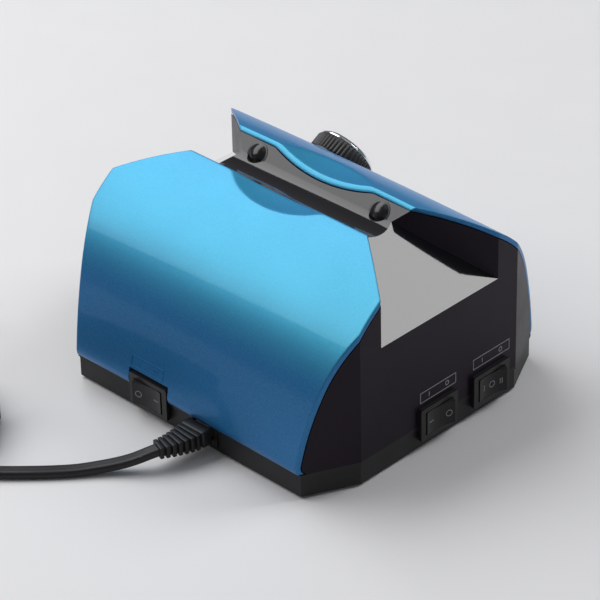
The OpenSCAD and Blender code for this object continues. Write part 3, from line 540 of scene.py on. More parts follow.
def build_moulding():
    """Moulded plastic or metal: fine grain, slow colour drift and handling smudges."""
    tree, start, end = group_of(
        "moulding",
        [
            ("Vector", "NodeSocketVector", None),
            ("Grain Scale", "NodeSocketFloat", 2500.0),
            ("Drift Scale", "NodeSocketFloat", 18.0),
            ("Smudge Scale", "NodeSocketFloat", 45.0),
        ],
        [
            ("Grain", "NodeSocketFloat"),
            ("Drift", "NodeSocketFloat"),
            ("Smudge", "NodeSocketFloat"),
        ],
    )
    vector = start.outputs["Vector"]
    grain = noise_node(tree, vector, start.outputs["Grain Scale"], 2.0, 0.6)
    drift = noise_node(tree, vector, start.outputs["Drift Scale"], 2.0)
    smudge = noise_node(tree, vector, start.outputs["Smudge Scale"], 5.0, 0.65)
    sharper = math_node(tree, "MULTIPLY_ADD", smudge, 3.2, -1.25, clamp=True)
    tree.links.new(grain, end.inputs["Grain"])
    tree.links.new(drift, end.inputs["Drift"])
    tree.links.new(sharper, end.inputs["Smudge"])
    return tree


def build_dust():
    """Sparse fine dust that settles on faces that look up."""
    tree, start, end = group_of(
        "dust",
        [("Vector", "NodeSocketVector", None), ("Amount", "NodeSocketFloat", 0.3)],
        [("Dust", "NodeSocketFloat")],
    )
    specks = tree.nodes.new("ShaderNodeTexVoronoi")
    specks.inputs["Scale"].default_value = 420.0
    tree.links.new(start.outputs["Vector"], specks.inputs["Vector"])
    near = math_node(tree, "LESS_THAN", specks.outputs["Distance"], 0.09)
    patches = noise_node(tree, start.outputs["Vector"], 60.0, 3.0)
    some = math_node(tree, "GREATER_THAN", patches, 0.58)
    geometry = tree.nodes.new("ShaderNodeNewGeometry")
    split = tree.nodes.new("ShaderNodeSeparateXYZ")
    tree.links.new(geometry.outputs["Normal"], split.inputs[0])
    up = math_node(tree, "MULTIPLY_ADD", split.outputs["Z"], 1.4, -0.4, clamp=True)
    both = math_node(tree, "MULTIPLY", near, some)
    lying = math_node(tree, "MULTIPLY", both, up)
    dust = math_node(tree, "MULTIPLY", lying, start.outputs["Amount"])
    tree.links.new(dust, end.inputs["Dust"])
    return tree


GROUPS = {}


def group(name):
    """The node group of a name, built once."""
    makers = {"moulding": build_moulding, "dust": build_dust}
    if name not in GROUPS:
        GROUPS[name] = makers[name]()
    return GROUPS[name]


# ---- materials ----
DUST = (0.45, 0.43, 0.40)
FLAKE = (0.35, 0.75, 0.95)


def started(name):
    """A material with object coordinates and its Principled shader."""
    material = bpy.data.materials.new(name)
    material.use_nodes = True
    tree = material.node_tree
    shader = next(n for n in tree.nodes if n.type == "BSDF_PRINCIPLED")
    coordinates = tree.nodes.new("ShaderNodeTexCoord")
    mapping = tree.nodes.new("ShaderNodeMapping")
    tree.links.new(coordinates.outputs["Object"], mapping.inputs["Vector"])
    return material, tree, shader, mapping


def placed_group(tree, name, vector, **values):
    node = tree.nodes.new("ShaderNodeGroup")
    node.node_tree = group(name)
    tree.links.new(vector, node.inputs["Vector"])
    for label, value in values.items():
        node.inputs[label.replace("_", " ")].default_value = value
    return node


def blended(tree, share, first, second):
    """A colour between two, by a share that changes over the surface."""
    node = tree.nodes.new("ShaderNodeMix")
    node.data_type = "RGBA"
    for socket, value in ((node.inputs["A"], first), (node.inputs["B"], second)):
        if hasattr(value, "links"):
            tree.links.new(value, socket)
        else:
            socket.default_value = (*value[:3], 1.0)
    tree.links.new(share, node.inputs["Factor"])
    return node.outputs["Result"]


def spread(tree, value, low, high):
    """A value from 0 to 1, spread between two limits."""
    node = tree.nodes.new("ShaderNodeMapRange")
    node.inputs["To Min"].default_value = low
    node.inputs["To Max"].default_value = high
    tree.links.new(value, node.inputs["Value"])
    return node.outputs["Result"]


def bumped(tree, shader, height, strength, distance):
    node = tree.nodes.new("ShaderNodeBump")
    node.inputs["Strength"].default_value = strength
    node.inputs["Distance"].default_value = distance
    tree.links.new(height, node.inputs["Height"])
    tree.links.new(node.outputs["Normal"], shader.inputs["Normal"])


def shade(value, times):
    return tuple(min(1.0, channel * times) for channel in value[:3])


def moulded(name, base, rough, grain=2500.0, bump=0.25, depth=0.00002, dust=0.0, metal=0.0,
            coat=0.0, drift=0.12, specular=0.5, clear=0.0):
    """A moulded, turned or plated finish: drift in colour, smudged gloss and grain.

    rough holds the roughness of clean and smudged spots, and depth the grain's in metres.
    """
    material, tree, shader, mapping = started(name)
    vector = mapping.outputs["Vector"]
    life = placed_group(tree, "moulding", vector, Grain_Scale=grain)
    tone = blended(tree, life.outputs["Drift"], shade(base, 1 - drift), shade(base, 1 + drift))
    if dust:
        specks = placed_group(tree, "dust", vector, Amount=dust)
        tone = blended(tree, specks.outputs["Dust"], tone, DUST)
    tree.links.new(tone, shader.inputs["Base Color"])
    gloss = spread(tree, life.outputs["Smudge"], rough[0], rough[1])
    tree.links.new(gloss, shader.inputs["Roughness"])
    shader.inputs["Metallic"].default_value = metal
    shader.inputs["Coat Weight"].default_value = coat
    shader.inputs["Coat Roughness"].default_value = 0.06
    shader.inputs["Specular IOR Level"].default_value = specular
    shader.inputs["Transmission Weight"].default_value = clear
    if bump:
        bumped(tree, shader, life.outputs["Grain"], bump, depth)
    return material


def cover_material(colours):
    """Pearl blue lacquer: flakes under a clear coat, deeper seen edge on, and painted shade: a
    deep blue on the steep lower faces.
    """
    material, tree, shader, mapping = started("cover pearl")
    vector = mapping.outputs["Vector"]
    life = placed_group(tree, "moulding", vector, Grain_Scale=900.0, Drift_Scale=9.0)
    flakes = tree.nodes.new("ShaderNodeTexVoronoi")
    flakes.inputs["Scale"].default_value = 5200.0
    tree.links.new(vector, flakes.inputs["Vector"])
    split = tree.nodes.new("ShaderNodeSeparateColor")
    tree.links.new(flakes.outputs["Color"], split.inputs["Color"])
    weight = tree.nodes.new("ShaderNodeLayerWeight")
    weight.inputs["Blend"].default_value = 0.45
    geometry = tree.nodes.new("ShaderNodeNewGeometry")
    normal = tree.nodes.new("ShaderNodeSeparateXYZ")
    tree.links.new(geometry.outputs["Normal"], normal.inputs[0])
    # Painted shade: 0 where the cover looks up, 1 where its face stands steeper than about 68
    # degrees; the steep faces get the deep blue that stands in for shade.
    painted_shade_mask = math_node(tree, "MULTIPLY_ADD", normal.outputs["Z"], -4.0, 2.5, clamp=True)
    low = math_node(tree, "MULTIPLY", painted_shade_mask, 0.85)
    facing = blended(tree, weight.outputs["Facing"], colours.cover, colours.cover_edge)
    facing = blended(tree, low, facing, colours.cover_painted_shade)
    sparkle = spread(tree, split.outputs["Red"], 0.0, 0.10)
    tone = blended(tree, sparkle, facing, FLAKE)
    drift = spread(tree, life.outputs["Drift"], 0.0, 0.12)
    tone = blended(tree, drift, tone, shade(colours.cover, 0.7))
    tree.links.new(tone, shader.inputs["Base Color"])
    shader.inputs["Metallic"].default_value = 0.5
    gloss = spread(tree, life.outputs["Smudge"], 0.38, 0.42)
    tree.links.new(gloss, shader.inputs["Roughness"])
    shader.inputs["Coat Weight"].default_value = 0.25
    shader.inputs["Coat Roughness"].default_value = 0.05
    shader.inputs["Coat IOR"].default_value = 1.5
    shader.inputs["Specular IOR Level"].default_value = 0.2
    bumped(tree, shader, split.outputs["Green"], 0.12, 0.00001)
    return material


def housing_material(colours):
    """Black housing: mirror gloss in the valleys, fine texture on the plum flanks."""
    material, tree, shader, mapping = started("housing two gloss")
    vector = mapping.outputs["Vector"]
    life = placed_group(tree, "moulding", vector, Grain_Scale=1500.0)
    geometry = tree.nodes.new("ShaderNodeNewGeometry")
    split = tree.nodes.new("ShaderNodeSeparateXYZ")
    tree.links.new(geometry.outputs["True Normal"], split.inputs[0])
    upright = math_node(tree, "LESS_THAN", split.outputs["Z"], 0.25)
    # The clear coat lies on the faces that look up only.
    level = math_node(tree, "MULTIPLY_ADD", upright, -0.7, 0.7)
    tree.links.new(level, shader.inputs["Coat Weight"])
    shader.inputs["Coat Roughness"].default_value = 0.06
    shader.inputs["Specular IOR Level"].default_value = 0.15
    tone = blended(tree, upright, colours.black, colours.plum)
    tree.links.new(tone, shader.inputs["Base Color"])
    gloss = spread(tree, life.outputs["Smudge"], 0.06, 0.10)
    matte = spread(tree, life.outputs["Smudge"], 0.34, 0.42)
    rough = tree.nodes.new("ShaderNodeMix")
    tree.links.new(upright, rough.inputs["Factor"])
    tree.links.new(gloss, rough.inputs["A"])
    tree.links.new(matte, rough.inputs["B"])
    tree.links.new(rough.outputs["Result"], shader.inputs["Roughness"])
    texture = math_node(tree, "MULTIPLY", life.outputs["Grain"], upright)
    bumped(tree, shader, texture, 0.35, 0.00004)
    return material


def build_finishes(colours):
    """Every finish by the record's slot name."""
    black = (0.013, 0.013, 0.014)
    steel = (0.55, 0.55, 0.56)
    return {
        "shell_blue": cover_material(colours),
        "housing_black": housing_material(colours),
        "tray_black": moulded("tray grain", colours.tray, (0.42, 0.5), grain=1300.0, bump=0.5,
                              depth=0.00005, dust=0.4, specular=0.25),
        "bumper_rubber": moulded("bumper rubber", colours.rubber, (0.16, 0.26), dust=0.4),
        "knob_black": moulded("knob satin", black, (0.3, 0.4), grain=2200.0, bump=0.2),
        "bright_rim": moulded("rim chrome", (0.86, 0.87, 0.88), (0.05, 0.1), grain=800.0,
                              bump=0.03, metal=1.0, drift=0.02),
        "knob_face": moulded("knob face", (0.03, 0.03, 0.034), (0.2, 0.28), coat=0.4),
        "shaft_metal": moulded("shaft metal", (0.7, 0.71, 0.72), (0.25, 0.35), metal=1.0),
        "plated_steel": moulded("zinc plating", steel, (0.28, 0.4), metal=1.0),
        "switch_black": moulded("bezel plastic", black, (0.3, 0.38), grain=1700.0, dust=0.3,
                                specular=0.3),
        "rocker_black": moulded("rocker plastic", (0.012, 0.012, 0.013), (0.2, 0.28),
                                grain=2400.0, bump=0.15, dust=0.3, specular=0.3),
        "contact_brass": moulded("tinned brass", (0.75, 0.62, 0.33), (0.25, 0.4), metal=1.0),
        "connector_black": moulded("connector plastic", (0.012, 0.012, 0.013), (0.36, 0.46),
                                   grain=1600.0, bump=0.35, depth=0.00004, dust=0.4,
                                   specular=0.3),
        "nut_nickel": moulded("nickel", (0.72, 0.70, 0.66), (0.12, 0.2), metal=1.0, drift=0.04),
        "lamp_lens": moulded("lamp lens", (0.75, 0.03, 0.02), (0.08, 0.12), clear=0.6),
        "board_green": moulded("board lacquer", (0.02, 0.16, 0.07), (0.2, 0.35), grain=600.0),
        "core_steel": moulded("core plates", (0.09, 0.09, 0.10), (0.4, 0.5), metal=0.6),
        "coil_tape": moulded("coil tape", (0.62, 0.44, 0.06), (0.3, 0.4), grain=500.0),
        "capacitor_sleeve": moulded("capacitor sleeve", (0.02, 0.03, 0.09), (0.2, 0.3)),
        "sink_aluminium": moulded("sink aluminium", (0.62, 0.63, 0.64), (0.3, 0.42), metal=1.0),
        "resin_black": moulded("resin", (0.02, 0.02, 0.02), (0.4, 0.5)),
        "fuse_glass": moulded("fuse glass", (0.85, 0.90, 0.90), (0.03, 0.06), bump=0, clear=0.9),
        "screw_steel": moulded("screw steel", (0.40, 0.40, 0.42), (0.25, 0.35), metal=1.0),
        "foot_rubber": moulded("foot rubber", colours.rubber, (0.6, 0.75), grain=900.0, bump=0.5,
                               depth=0.00005),
        "cord_black": moulded("cord sheath", (0.012, 0.012, 0.014), (0.36, 0.46), grain=1400.0,
                              bump=0.2, depth=0.00003, dust=0.4, specular=0.3),
        "pin_nickel": moulded("pin nickel", (0.72, 0.71, 0.68), (0.15, 0.25), metal=1.0),
        "mark": moulded("mark grey", colours.mark, (0.35, 0.45)),
    }


# ---- covers ----
NOTCH_ROOM = 0.5 * MM
NOTCH_RISE = 1.5 * MM
NOTCH_DEPTH = 16 * MM
KNOB_ROOM = 1.05 * MM
NUT_ROOM = 0.6 * MM
LAMP_ROOM = 0.15 * MM
HOLE_DEPTH = 14 * MM


def cover_rows(line):
    """Slopes of a cover's rows, from the upper edge down to the hem's end."""
    size = line.size
    brow = line.arcs[0][0].x
    steps = (
        (size.brow_from + math.radians(0.9), 1),
        (line.held_to, 26),
        (math.asin((line.flank_y - brow) / size.brow_radius), 8),
        (math.asin((line.corner_y - brow) / size.brow_radius), 13),
        (size.brow_to, 22),
        (line.face_to - math.radians(1), 20),
        (line.face_to, 1),
        (line.hem_to, 8),
    )
    rows = [size.brow_from]
    for to, count in steps:
        start = rows[-1]
        rows += [start + (to - start) * (i + 1) / count for i in range(count)]
    return rows


def cover_point(line, side, across, slope, inset):
    """A point of a cover's outer or inner skin. across runs from -1 to 1."""
    size = line.size
    x = 0.0
    for _ in range(6):
        now = slope
        if slope < line.held_to:
            share = (line.held_to - slope) / (line.held_to - size.brow_from)
            now = slope + share * (line.edge_slope(x, inset) - size.brow_from)
        elif slope > line.face_to:
            share = (slope - line.face_to) / (line.hem_to - line.face_to)
            now = line.face_to + share * (line.hem_slope(x, inset) - line.face_to)
        y, z = line.surface(x, now, inset)
        x = across * line.half_width(y)
    return Vector((MIDDLE + x, side * y, z))


def model_cover(name, line, side):
    """A crowned cover with its scoop, wall, rim and rounded edges."""
    size = line.size
    rows = cover_rows(line)
    last = len(rows) - 1
    bpy.ops.mesh.primitive_grid_add(x_subdivisions=size.columns, y_subdivisions=last, size=1)
    piece = named(name)
    spots = [(2 * v.co.x, rows[round((v.co.y + 0.5) * last)]) for v in piece.data.vertices]
    for vertex, (across, slope) in zip(piece.data.vertices, spots):
        vertex.co = cover_point(line, side, across, slope, 0.0)
    edit(piece)
    bpy.ops.mesh.select_all(action="SELECT")
    if side > 0:
        bpy.ops.mesh.flip_normals()
    bpy.ops.object.mode_set(mode="OBJECT")
    wall = piece.modifiers.new("wall", "SOLIDIFY")
    wall.thickness = size.thickness
    wall.offset = -1
    apply_all(piece)
    inner = list(piece.data.vertices)[len(spots):2 * len(spots)]
    for vertex, (across, slope) in zip(inner, spots):
        vertex.co = cover_point(line, side, across, slope, size.thickness)
    round_edges(piece, size.edge_round, 2, 40)
    return piece


class NAILDRILL_OT_covers(Operator):
    """Model both crowned covers with their scoops and openings"""

    bl_idname = "naildrill.covers"
    bl_label = "Covers"

    def execute(self, context):
        size, fit = context.scene.drill_covers, context.scene.drill_fittings
        line = Outline(size)
        rear = model_cover("rear_cover", line, 1)
        top = fit.power_z + fit.bezel_height / 2 + NOTCH_RISE
        notch = block(
            "notch",
            (fit.bezel_width + 2 * NOTCH_ROOM, NOTCH_DEPTH, 2 * top),
            (MIDDLE + fit.power_x, HALF_D, 0),
        )
        cut_away(rear, [notch])
        smooth(rear)
        finish_piece(rear, BOX, "shell_blue", ["rear_shell"])
        front = model_cover("front_cover", line, -1)
        holes = [
            (fit.knob_x, fit.knob_tilt, fit.knob_radius + KNOB_ROOM),
            (fit.handpiece_x, fit.socket_tilt, fit.nut_radius + NUT_ROOM),
            (fit.pedal_x, fit.socket_tilt, fit.nut_radius + NUT_ROOM),
            (fit.lamp_x, fit.socket_tilt, fit.lamp_radius + LAMP_ROOM),
        ]
        cutters = []
        for x, tilt, radius in holes:
            cutter = rod("hole", radius, HOLE_DEPTH, sides=96)
            cutters.append(settle(cutter, line.place(-1, x, tilt)))
        cut_away(front, cutters)
        smooth(front)
        finish_piece(front, BOX, "shell_blue", ["front_shell"])
        return {"FINISHED"}


# ---- rubber bumpers ----
BUMPER_SUNK = 1.15 * MM
BUMPER_BEVEL = 0.25 * MM
BUMPER_LIFT = 0.02 * MM


class NAILDRILL_OT_bumpers(Operator):
    """Model the four domed rubber bumpers of the cradle"""

    bl_idname = "naildrill.bumpers"
    bl_label = "Bumpers"

    def execute(self, context):
        size, fit = context.scene.drill_covers, context.scene.drill_fittings
        radius, dome = fit.bumper_radius, fit.bumper_dome
        ball = (radius**2 + dome**2) / (2 * dome)
        brim = radius + fit.bumper_flange
        # From the foot in its recess, up to the flat brim and over it to the dome.
        skirt = [
            (radius - BUMPER_BEVEL, -BUMPER_SUNK), (radius, BUMPER_BEVEL - BUMPER_SUNK),
            (radius, BUMPER_LIFT), (brim, BUMPER_LIFT), (brim, 0.14 * MM),
            (brim - 0.1 * MM, 0.2 * MM), (radius + 0.05 * MM, 0.12 * MM),
        ]
        full = math.asin(radius / ball)
        arc = [full * (1 - i / 12) for i in range(1, 12)] + [full * 0.02]
        curve = [(ball * math.sin(a), dome - ball + ball * math.cos(a)) for a in arc]
        first = turned("bumper", skirt + curve, 48)
        smooth(first, 50)
        y = size.cradle_foot + (fit.bumper_z - size.cradle_height) / math.tan(size.cradle_slope)
        made = []
        for side in (-1, 1):
            for end in (-1, 1):
                spot = Matrix.Translation((MIDDLE + end * fit.bumper_x, side * y, fit.bumper_z))
                turn = Matrix.Rotation(side * size.cradle_slope, 4, "X")
                made.append(settle(copy_of(first, "bumper_copy"), spot @ turn))
        bpy.data.objects.remove(first)
        pads = joined("rubber_bumpers", made)
        finish_piece(pads, BOX, "bumper_rubber", ["cradle_bumpers"])
        return {"FINISHED"}


# ---- speed knob ----
# Outline of the grip in millimetres: inset from its radius, with rise above its foot,
# then with drop below its top.
GRIP_FOOT = ((3.9, 0), (0.6, 0), (0, 0.4))
GRIP_TOP = ((0, 0.5), (0.3, 0.05), (0.9, 0), (2.9, 0))
RIB_BAND = 0.4 * MM
RIB_POWER = 1.6
RIM_INSET = 0.3 * MM
RIM_INNER = 3.2 * MM
RIM_SLANT = 0.55


class NAILDRILL_OT_knob(Operator):
    """Model the ribbed knob grip with its bright rim"""

    bl_idname = "naildrill.knob"
    bl_label = "Speed knob"

    def execute(self, context):
        line = Outline(context.scene.drill_covers)
        fit = context.scene.drill_fittings
        place = line.place(-1, fit.knob_x, fit.knob_tilt)
        self.model_grip(fit, place)
        self.model_rim(fit, place)
        return {"FINISHED"}

    def model_grip(self, fit, place):
        """The grip, with its ribs pressed into the turned side."""
        radius, low, high = fit.knob_radius, fit.knob_low, fit.knob_height
        profile = [(radius - inset * MM, low + rise * MM) for inset, rise in GRIP_FOOT]
        profile += [(radius - inset * MM, high - drop * MM) for inset, drop in GRIP_TOP]
        grip = turned("knob_ribs", profile, fit.knob_ribs * 8)
        for vertex in grip.data.vertices:
            reach = math.hypot(vertex.co.x, vertex.co.y)
            if reach > radius - RIB_BAND:
                turn = math.atan2(vertex.co.y, vertex.co.x) * fit.knob_ribs
                groove = (0.5 - 0.5 * math.cos(turn)) ** RIB_POWER
                share = 1 - groove * fit.rib_depth / reach
                vertex.co.x *= share
                vertex.co.y *= share
        smooth(settle(grip, place), 50)
        finish_piece(grip, "knob", "knob_black", ["knob_grip"])

    def model_rim(self, fit, place):
        """The bright rim: a low band, a slanting face and a rounded inner edge."""
        radius, high, rise = fit.knob_radius, fit.knob_height, fit.rim_height
        outer, inner = radius - RIM_INSET, radius - RIM_INNER
        slant = RIM_SLANT * rise
        # From its seat up the band, over the slanting face and down the inner edge.
        profile = [
            (inner, high),
            (outer - 0.1 * MM, high),
            (outer, high + 0.1 * MM),
            (outer, high + 0.32 * rise),
            (outer - 0.06 * MM, high + 0.40 * rise),
            (outer - slant + 0.08 * MM, high + rise - 0.12 * MM),
            (outer - slant - 0.12 * MM, high + rise),
            (inner + 0.15 * MM, high + rise),
            (inner, high + rise - 0.15 * MM),
            (inner, high + 0.4 * rise),
        ]
        rim = turned("knob_bright_rim", profile, 128)
        smooth(settle(rim, place), 50)
        finish_piece(rim, "knob", "bright_rim", ["knob_rim"])


# ---- marks on the switches ----
ROCKER_PROUD = 0.3 * MM
MARK_PLACE = 4.4 * MM
MARK_PROUD = 0.16 * MM
MARK_LONG = 2.6 * MM
MARK_LINE = 0.4 * MM
MARK_RING = 1.5 * MM
MARK_RING_LINE = 0.35 * MM
MARK_ROUND = 0.05 * MM
FRAME_HEIGHT = 4.8 * MM
FRAME_PROUD = 0.3 * MM
FRAME_LINE = 0.35 * MM
FRAME_BAR = (0.45 * MM, 2.0 * MM)
FRAME_RING = 1.1 * MM
FRAME_RING_LINE = 0.4 * MM


def bar_mark(name, width, height, proud):
    mark = block(name, (width, height, proud))
    round_edges(mark, MARK_ROUND)
    return mark


def ring_mark(name, radius, line_width, proud):
    """A flat ring: a disc with its middle taken out."""
    ring = rod(name, radius, proud, sides=40)
    cut_away(ring, [rod("ring_hole", radius - line_width, 4 * proud, sides=40)])
    return ring


class NAILDRILL_OT_marks(Operator):
    """Model the moulded marks on the rockers and the bare label frames"""

    bl_idname = "naildrill.marks"
    bl_label = "Marks"

    def execute(self, context):
        fit = context.scene.drill_fittings
        line = Outline(context.scene.drill_covers)
        # Body, axes, tilt, and marks with their place along the rocker from -1 to 1.
        switches = (
            ("power", rear_place(fit.power_x, fit.power_z), fit.rocker_tilt,
             (("ring", -1), ("bar", 1))),
            ("mode", flank_place(fit.mode_y, fit.flank_z), -fit.rocker_tilt,
             (("bar", -1), ("ring", 1))),
            ("direction", flank_place(fit.direction_y, fit.flank_z), -fit.rocker_tilt,
             (("upright", -1), ("ring", 0), ("upright", 0.9), ("upright", 1.1))),
        )
        for name, place, tilt, marks in switches:
            for shape, spot in marks:
                self.mark(fit, name, place @ Matrix.Rotation(tilt, 4, "Y"), spot, shape)
        # Place and width of each frame over its switch.
        frames = (
            ("mode_frame", flank_place(1.3 * MM, 24.0 * MM), 20.6 * MM),
            ("direction_frame", flank_place(-29.7 * MM, 24.5 * MM), 21.5 * MM),
            ("power_frame", self.rear_label(line, 21 * MM, 23.2 * MM), 18.0 * MM),
        )
        for name, place, width in frames:
            self.label_frame(name, place, width)
        return {"FINISHED"}

    def rear_label(self, line, x, z):
        """Place on the rear cover's long face at a height."""
        slope = crossing(
            line.size.brow_to, line.face_to,
            lambda slope: line.crowned(x, line.arc(slope, 0).y) > z,
        )
        return line.place(1, x, slope) @ Matrix.Rotation(math.pi, 4, "Z")

    def mark(self, fit, name, place, end, shape):
        """A mark on the hollow face of a rocker, towards one of its ends."""
        x = end * MARK_PLACE
        hollow = fit.rocker_hollow
        lift = fit.bezel_thickness + ROCKER_PROUD + hollow - math.sqrt(hollow**2 - x**2)
        spot = Matrix.Translation((x, 0, lift)) @ Matrix.Rotation(-math.asin(x / hollow), 4, "Y")
        if shape == "ring":
            mark = ring_mark(name + "_ring", MARK_RING, MARK_RING_LINE, MARK_PROUD)
        elif shape == "bar":
            mark = bar_mark(name + "_bar", MARK_LONG, MARK_LINE, MARK_PROUD)
        else:
            mark = bar_mark(name + "_bar", MARK_LINE, MARK_LONG, MARK_PROUD)
        settle(mark, place @ spot)
        finish_piece(mark, name + "_rocker", "rocker_black", finish="mark")

    def label_frame(self, name, place, width):
        """A thin moulded frame with a bar and a ring in it. The flank frames are of the black
        housing plastic and get the grey mark finish as a painted highlight of their raised
        lines.
        """
        proud = FRAME_PROUD
        outer = block(name, (width, FRAME_HEIGHT, proud))
        inner = (width - 2 * FRAME_LINE, FRAME_HEIGHT - 2 * FRAME_LINE, 4 * proud)
        cut_away(outer, [block("frame_hole", inner)])
        bar = bar_mark("frame_bar", *FRAME_BAR, proud)
        settle(bar, Matrix.Translation((-width / 4, 0, 0)))
        ring = ring_mark("frame_ring", FRAME_RING, FRAME_RING_LINE, proud)
        settle(ring, Matrix.Translation((width / 4, 0, 0)))
        frame_piece = joined(name, [outer, bar, ring])
        settle(frame_piece, place)
        if name == "power_frame":
            finish_piece(frame_piece, BOX, "shell_blue")
        else:
            # Painted highlight: the grey mark finish on the black flank frames stands in for the
            # light that their raised lines catch.
            finish_piece(frame_piece, BOX, "housing_black", finish="mark")


# ---- mains lead ----
# The connector stands off the case by its gap, and its nose reaches into the inlet.
CONNECTOR_GAP = 0.5 * MM
CONNECTOR_ROUND = 1.0 * MM
NOSE_LESS = (0.9 * MM, 0.8 * MM)
NOSE_LENGTH = 6 * MM
NOSE_BACK = 2.4 * MM
NOSE_ROUND = 2.6 * MM
# The relief tapers to the cord's size and these margins, and each rib stands over its core.
RELIEF_MARGIN = (1.4 * MM, 1.2 * MM)
CORE_LESS = (1.3 * MM, 1.1 * MM)
RIB_ROUND = 0.35 * MM
CORE_ROUND = 0.5 * MM
# Length and shift of a rib and of its core, as shares of the ribs' pitch.
RIB_LENGTH, RIB_SHIFT = 0.74, 0.12
CORE_LENGTH, CORE_SHIFT = 1.2, -0.1


def along_relief(lead, share):
    """Place along the bent strain relief, in the inlet's own axes."""
    full = lead.relief_ribs * lead.relief_pitch
    turn = lead.relief_bend * share
    radius = full / lead.relief_bend
    out = CONNECTOR_GAP + lead.plug_block
    spot = Matrix.Translation((-radius * (1 - math.cos(turn)), 0, out + radius * math.sin(turn)))
    return spot @ Matrix.Rotation(-turn, 4, "Y")


class NAILDRILL_OT_connector(Operator):
    """Model the appliance connector with its ribbed strain relief"""

    bl_idname = "naildrill.connector"
    bl_label = "Lead connector"

    def execute(self, context):
        lead = context.scene.drill_lead
        width, height, deep = lead.plug_width, lead.plug_height, lead.plug_block
        centre = (0, 0, CONNECTOR_GAP + deep / 2)
        body = block("connector_body", (width, height, deep), centre)
        round_edges(body, CONNECTOR_ROUND, 4)
        nose_size = (width - NOSE_LESS[0], height - NOSE_LESS[1], NOSE_LENGTH)
        nose = block("nose", nose_size, (0, 0, -NOSE_BACK))
        round_edges(nose, NOSE_ROUND, 4)
        parts = [body, nose]
        count, pitch = lead.relief_ribs, lead.relief_pitch
        for i in range(count):
            share = (i + 1) / count
            w = width - share * (width - lead.width - RELIEF_MARGIN[0])
            h = height - share * (height - lead.thickness - RELIEF_MARGIN[1])
            place = along_relief(lead, (i + 0.5) / count)
            rib = block("rib", (w, h, RIB_LENGTH * pitch), (0, 0, RIB_SHIFT * pitch))
            round_edges(rib, RIB_ROUND, 3)
            core_size = (w - CORE_LESS[0], h - CORE_LESS[1], CORE_LENGTH * pitch)
            core = block("core", core_size, (0, 0, CORE_SHIFT * pitch))
            round_edges(core, CORE_ROUND)
            parts += [settle(rib, place), settle(core, place)]
        piece = joined("lead_plug", parts)
        settle(piece, rear_place(lead.inlet_x, lead.inlet_z))
        smooth(piece, 40)
        finish_piece(piece, BOX, "connector_black", ["lead_connector"])
        return {"FINISHED"}


# Middle of the cord from the strain relief to the coil, and from the coil to the plug.
LEAD_ROUTE = (
    (-6.4, 87, 8), (-5.3, 89.6, 7.6), (-4, 92, 7), (-2.2, 94.8, 6), (0.4, 98, 4.8),
    (4, 102, 3.6), (8.4, 107, 2.6), (13.2, 112.8, 2), (18.8, 119, 1.9), (25.6, 125.8, 1.9),
    (33.6, 133.2, 1.9), (42, 140.3, 2.2), (50, 147, 2.8),
)
TAIL_ROUTE = (
    (116.6, 146.5, 13.6), (119.5, 138.5, 12), (122.4, 130.5, 9.8),
    (125.2, 122.8, 7.9), (127.6, 116.2, 7), (130, 109.6, 6.9),
)
CORD_STEP = 2.5 * MM
# The sheath's outline is a rounded rectangle, with a groove in shares of its size.
SHEATH_POWERS = (0.75, 0.6)
GROOVE_WIDTH = 0.22
GROOVE_DEPTH = 0.16
COIL_AT = (85, 137.5, 1)
COIL_START = math.radians(150)
COIL_END = math.radians(29.6)
COIL_STEP = math.radians(7.5)
# Part of a turn in which the cord moves over to its next row or layer.
COIL_SHIFT = math.radians(150) / FULL_TURN
COIL_LIFT = 0.1 * MM
STRAP_TURN = math.radians(235)
STRAP_WIDTH = 4 * MM
STRAP_THICKNESS = 0.7 * MM
STRAP_ROOM = 0.2 * MM
STRAP_ROUND = 1.6 * MM
# Row and layer of each turn of the coil: row 1 is the outer one.
COIL_SLOTS = ((1, 0), (0, 0), (0, 1), (1, 1), (1, 2), (0, 2), (0, 3), (1, 3))


def placed_route(route):
    return [Vector((MIDDLE + x * MM, y * MM, z * MM)) for x, y, z in route]


def ease(share):
    """A share from 0 to 1 that starts and ends gently."""
    share = max(0.0, min(1.0, share))
    return share * share * (3 - 2 * share)


def coil_points(lead):
    """Turns of the coil, laid clockwise row by row and layer by layer."""
    cx, cy, cz = (value * MM for value in COIL_AT)
    total = COIL_START - COIL_END + (len(COIL_SLOTS) - 1) * FULL_TURN
    steps = int(total / COIL_STEP)
    points = []
    for i in range(steps + 1):
        gone = total * i / steps
        turns = gone / FULL_TURN
        here = min(int(turns), len(COIL_SLOTS) - 1)
        after = min(here + 1, len(COIL_SLOTS) - 1)
        share = ease((turns - here - (1 - COIL_SHIFT)) / COIL_SHIFT)
        row = COIL_SLOTS[here][0] * (1 - share) + COIL_SLOTS[after][0] * share
        layer = COIL_SLOTS[here][1] * (1 - share) + COIL_SLOTS[after][1] * share
        radius = lead.coil_radius + (row - 0.5) * lead.width
        height = cz + lead.thickness * (layer + 0.5) + COIL_LIFT
        spot = COIL_START - gone
        points.append(
            Vector((MIDDLE + cx + radius * math.cos(spot), cy + radius * math.sin(spot), height))
        )
    return points


def even_path(points, step):
    """A smooth path through the points, with steps of one length."""
    fine = []
    for i in range(len(points) - 1):
        before = points[max(i - 1, 0)]
        after = points[min(i + 2, len(points) - 1)]
        a, b = points[i], points[i + 1]
        for k in range(8):
            t = k / 8
            fine.append(
                0.5 * (2 * a + (b - before) * t + (2 * before - 5 * a + 4 * b - after) * t**2
                       + (3 * a - before - 3 * b + after) * t**3)
            )
    fine.append(points[-1])
    path, left = [fine[0]], 0.0
    for a, b in zip(fine, fine[1:]):
        span = (b - a).length
        while left + span >= step:
            share = (step - left) / span
            a = a + (b - a) * share
            path.append(a)
            span = (b - a).length
            left = 0.0
        left += span
    if left > 0.2 * step:
        path.append(fine[-1])
    return path


